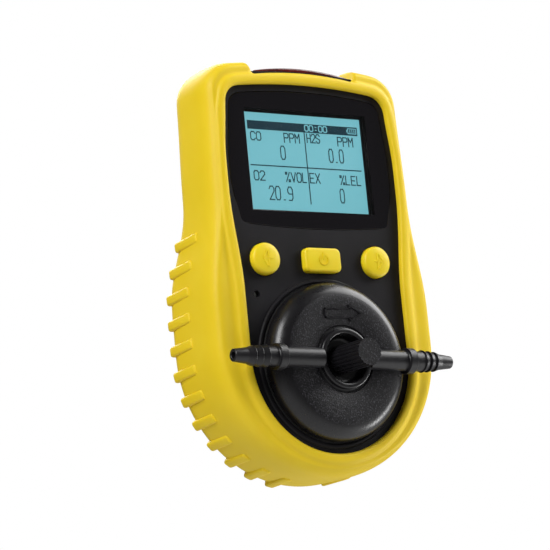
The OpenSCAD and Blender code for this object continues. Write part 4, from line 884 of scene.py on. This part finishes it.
bmesh.ops.transform(bm, matrix=Matrix.Rotation(math.pi / 2, 4, "X"), verts=bm.verts)
bmesh.ops.translate(bm, verts=bm.verts, vec=(0, PANEL_Y, 0))
for face in bm.faces:
    face.material_index = 0 if len(face.verts) > 20 else 1
piece("knurled_knob", bm, "thumb_screw", [cap_grain_and_glints, tube_gloss],
      ["thumb_screw"], sharp=25)

# ---- Belt clip ----
# Pressed from stainless strip: a plate screwed to the rear case and a jaw that turns on a pin
# against a torsion spring.

# Stainless strip brushed along its length
clip_steel = metal("brushed_stainless_strip", "#a3a5a7", "#c3c5c7", (0.24, 0.4), 0.12, 2)
# Drawn spring wire: brighter, with fine drawing lines
spring_wire = metal("drawn_spring_wire", "#8d9094", "#aeb1b4", (0.2, 0.35), 0.08, 0)
dress(clip_steel, "clip_plate", "clip_jaw", "clip_pin")
dress(spring_wire, "clip_spring")

# ---- Charging port ----
# A moulded silicone plug of the boot's colour closes the port in the right side. It pulls
# straight out, to reach the socket on the main board.

dress(silicone, "port_plug")

# ---- Studio ----
# A pale floor well under the hand-held detector, a white surround and four soft boxes. The
# camera stands low on the left.

FLOOR_Z = -0.5
floor_mesh = bpy.data.meshes.new("floor")
bm = bmesh.new()
bmesh.ops.create_grid(bm, x_segments=1, y_segments=1, size=3.0)
bmesh.ops.translate(bm, verts=bm.verts, vec=(0, 0, FLOOR_Z))
bm.to_mesh(floor_mesh)
bm.free()
floor = bpy.data.objects.new("floor", floor_mesh)
bpy.context.scene.collection.objects.link(floor)
# White paper, lit from below as on a light table so that it stays pale behind the object
paper, place = new_finish("white_paper")
fibre = wire(paper, "ShaderNodeTexNoise", {"Scale": 60.0}, {"Vector": place})
seen = wire(paper, "ShaderNodeLightPath", {})
lift = wire(paper, "ShaderNodeMath", {"operation": "MULTIPLY", 1: 0.6},
            {0: seen.outputs["Is Camera Ray"]})
coat(paper, wire(paper, "ShaderNodeBsdfPrincipled",
                 {"Roughness": 0.9, "Emission Color": paint("#f2f2f2")},
                 {"Base Color": blend_colours(paper, fibre.outputs["Fac"], "#cfcfcf",
                                              "#d6d6d6"),
                  "Emission Strength": lift.outputs["Value"]}))
floor_mesh.materials.append(paper)

world = bpy.data.worlds.new("studio")
bpy.context.scene.world = world
world.use_nodes = True
world.node_tree.nodes.clear()
seen = wire(world, "ShaderNodeLightPath", {})
shade = wire(world, "ShaderNodeMix", {"data_type": "FLOAT", 2: 0.1, 3: 1.0})
world.node_tree.links.new(seen.outputs["Is Camera Ray"], shade.inputs[0])
sky = wire(world, "ShaderNodeBackground", {"Color": paint("#ffffff")},
           {"Strength": shade.outputs[0]})
wire(world, "ShaderNodeOutputWorld", {}, {"Surface": sky.outputs["Background"]})


def soft_box(name, spot, aim, size, power):
    light = bpy.data.lights.new(name, "AREA")
    light.shape, light.size, light.size_y = "RECTANGLE", size[0], size[1]
    light.energy = power
    holder = bpy.data.objects.new(name, light)
    holder.location = spot
    holder.rotation_euler = (Vector(aim) - Vector(spot)).to_track_quat("-Z", "Y").to_euler()
    bpy.context.scene.collection.objects.link(holder)


soft_box("key", (0.85, -0.24, 0.55), (0, 0, -0.02), (0.8, 0.8), 12.0)
soft_box("left_fill", (-0.75, -0.42, 0.5), (0, 0, -0.02), (0.35, 0.6), 8.5)
soft_box("low_right", (0.62, -0.22, -0.3), (0, 0, -0.05), (0.1, 0.3), 1.6)
soft_box("back", (0.1, 0.6, 0.5), (0, 0, 0), (0.5, 0.5), 5.0)

# The camera is 0.7 m from the point it looks at
CAMERA_AIM = (-0.016, -0.018, -0.03016)
CAMERA_AWAY = 0.7
AZIMUTH, ELEVATION, ROLL = (math.radians(d) for d in (-34.476, -10.495, -5.539))
back = Vector((math.sin(AZIMUTH) * math.cos(ELEVATION), -math.cos(AZIMUTH) * math.cos(ELEVATION),
               math.sin(ELEVATION)))
right = Vector((math.cos(AZIMUTH), math.sin(AZIMUTH), 0))
up = back.cross(right)
right, up = (math.cos(ROLL) * right + math.sin(ROLL) * up,
             -math.sin(ROLL) * right + math.cos(ROLL) * up)
camera_data = bpy.data.cameras.new("camera")
camera_data.sensor_width = 36.0
camera_data.lens = 149.24
camera = bpy.data.objects.new("camera", camera_data)
bpy.context.scene.collection.objects.link(camera)
turn = Matrix((right, up, back)).transposed().to_4x4()
camera.matrix_world = Matrix.Translation(Vector(CAMERA_AIM) + CAMERA_AWAY * back) @ turn
bpy.context.scene.camera = camera
bpy.context.scene.view_settings.view_transform = "Standard"
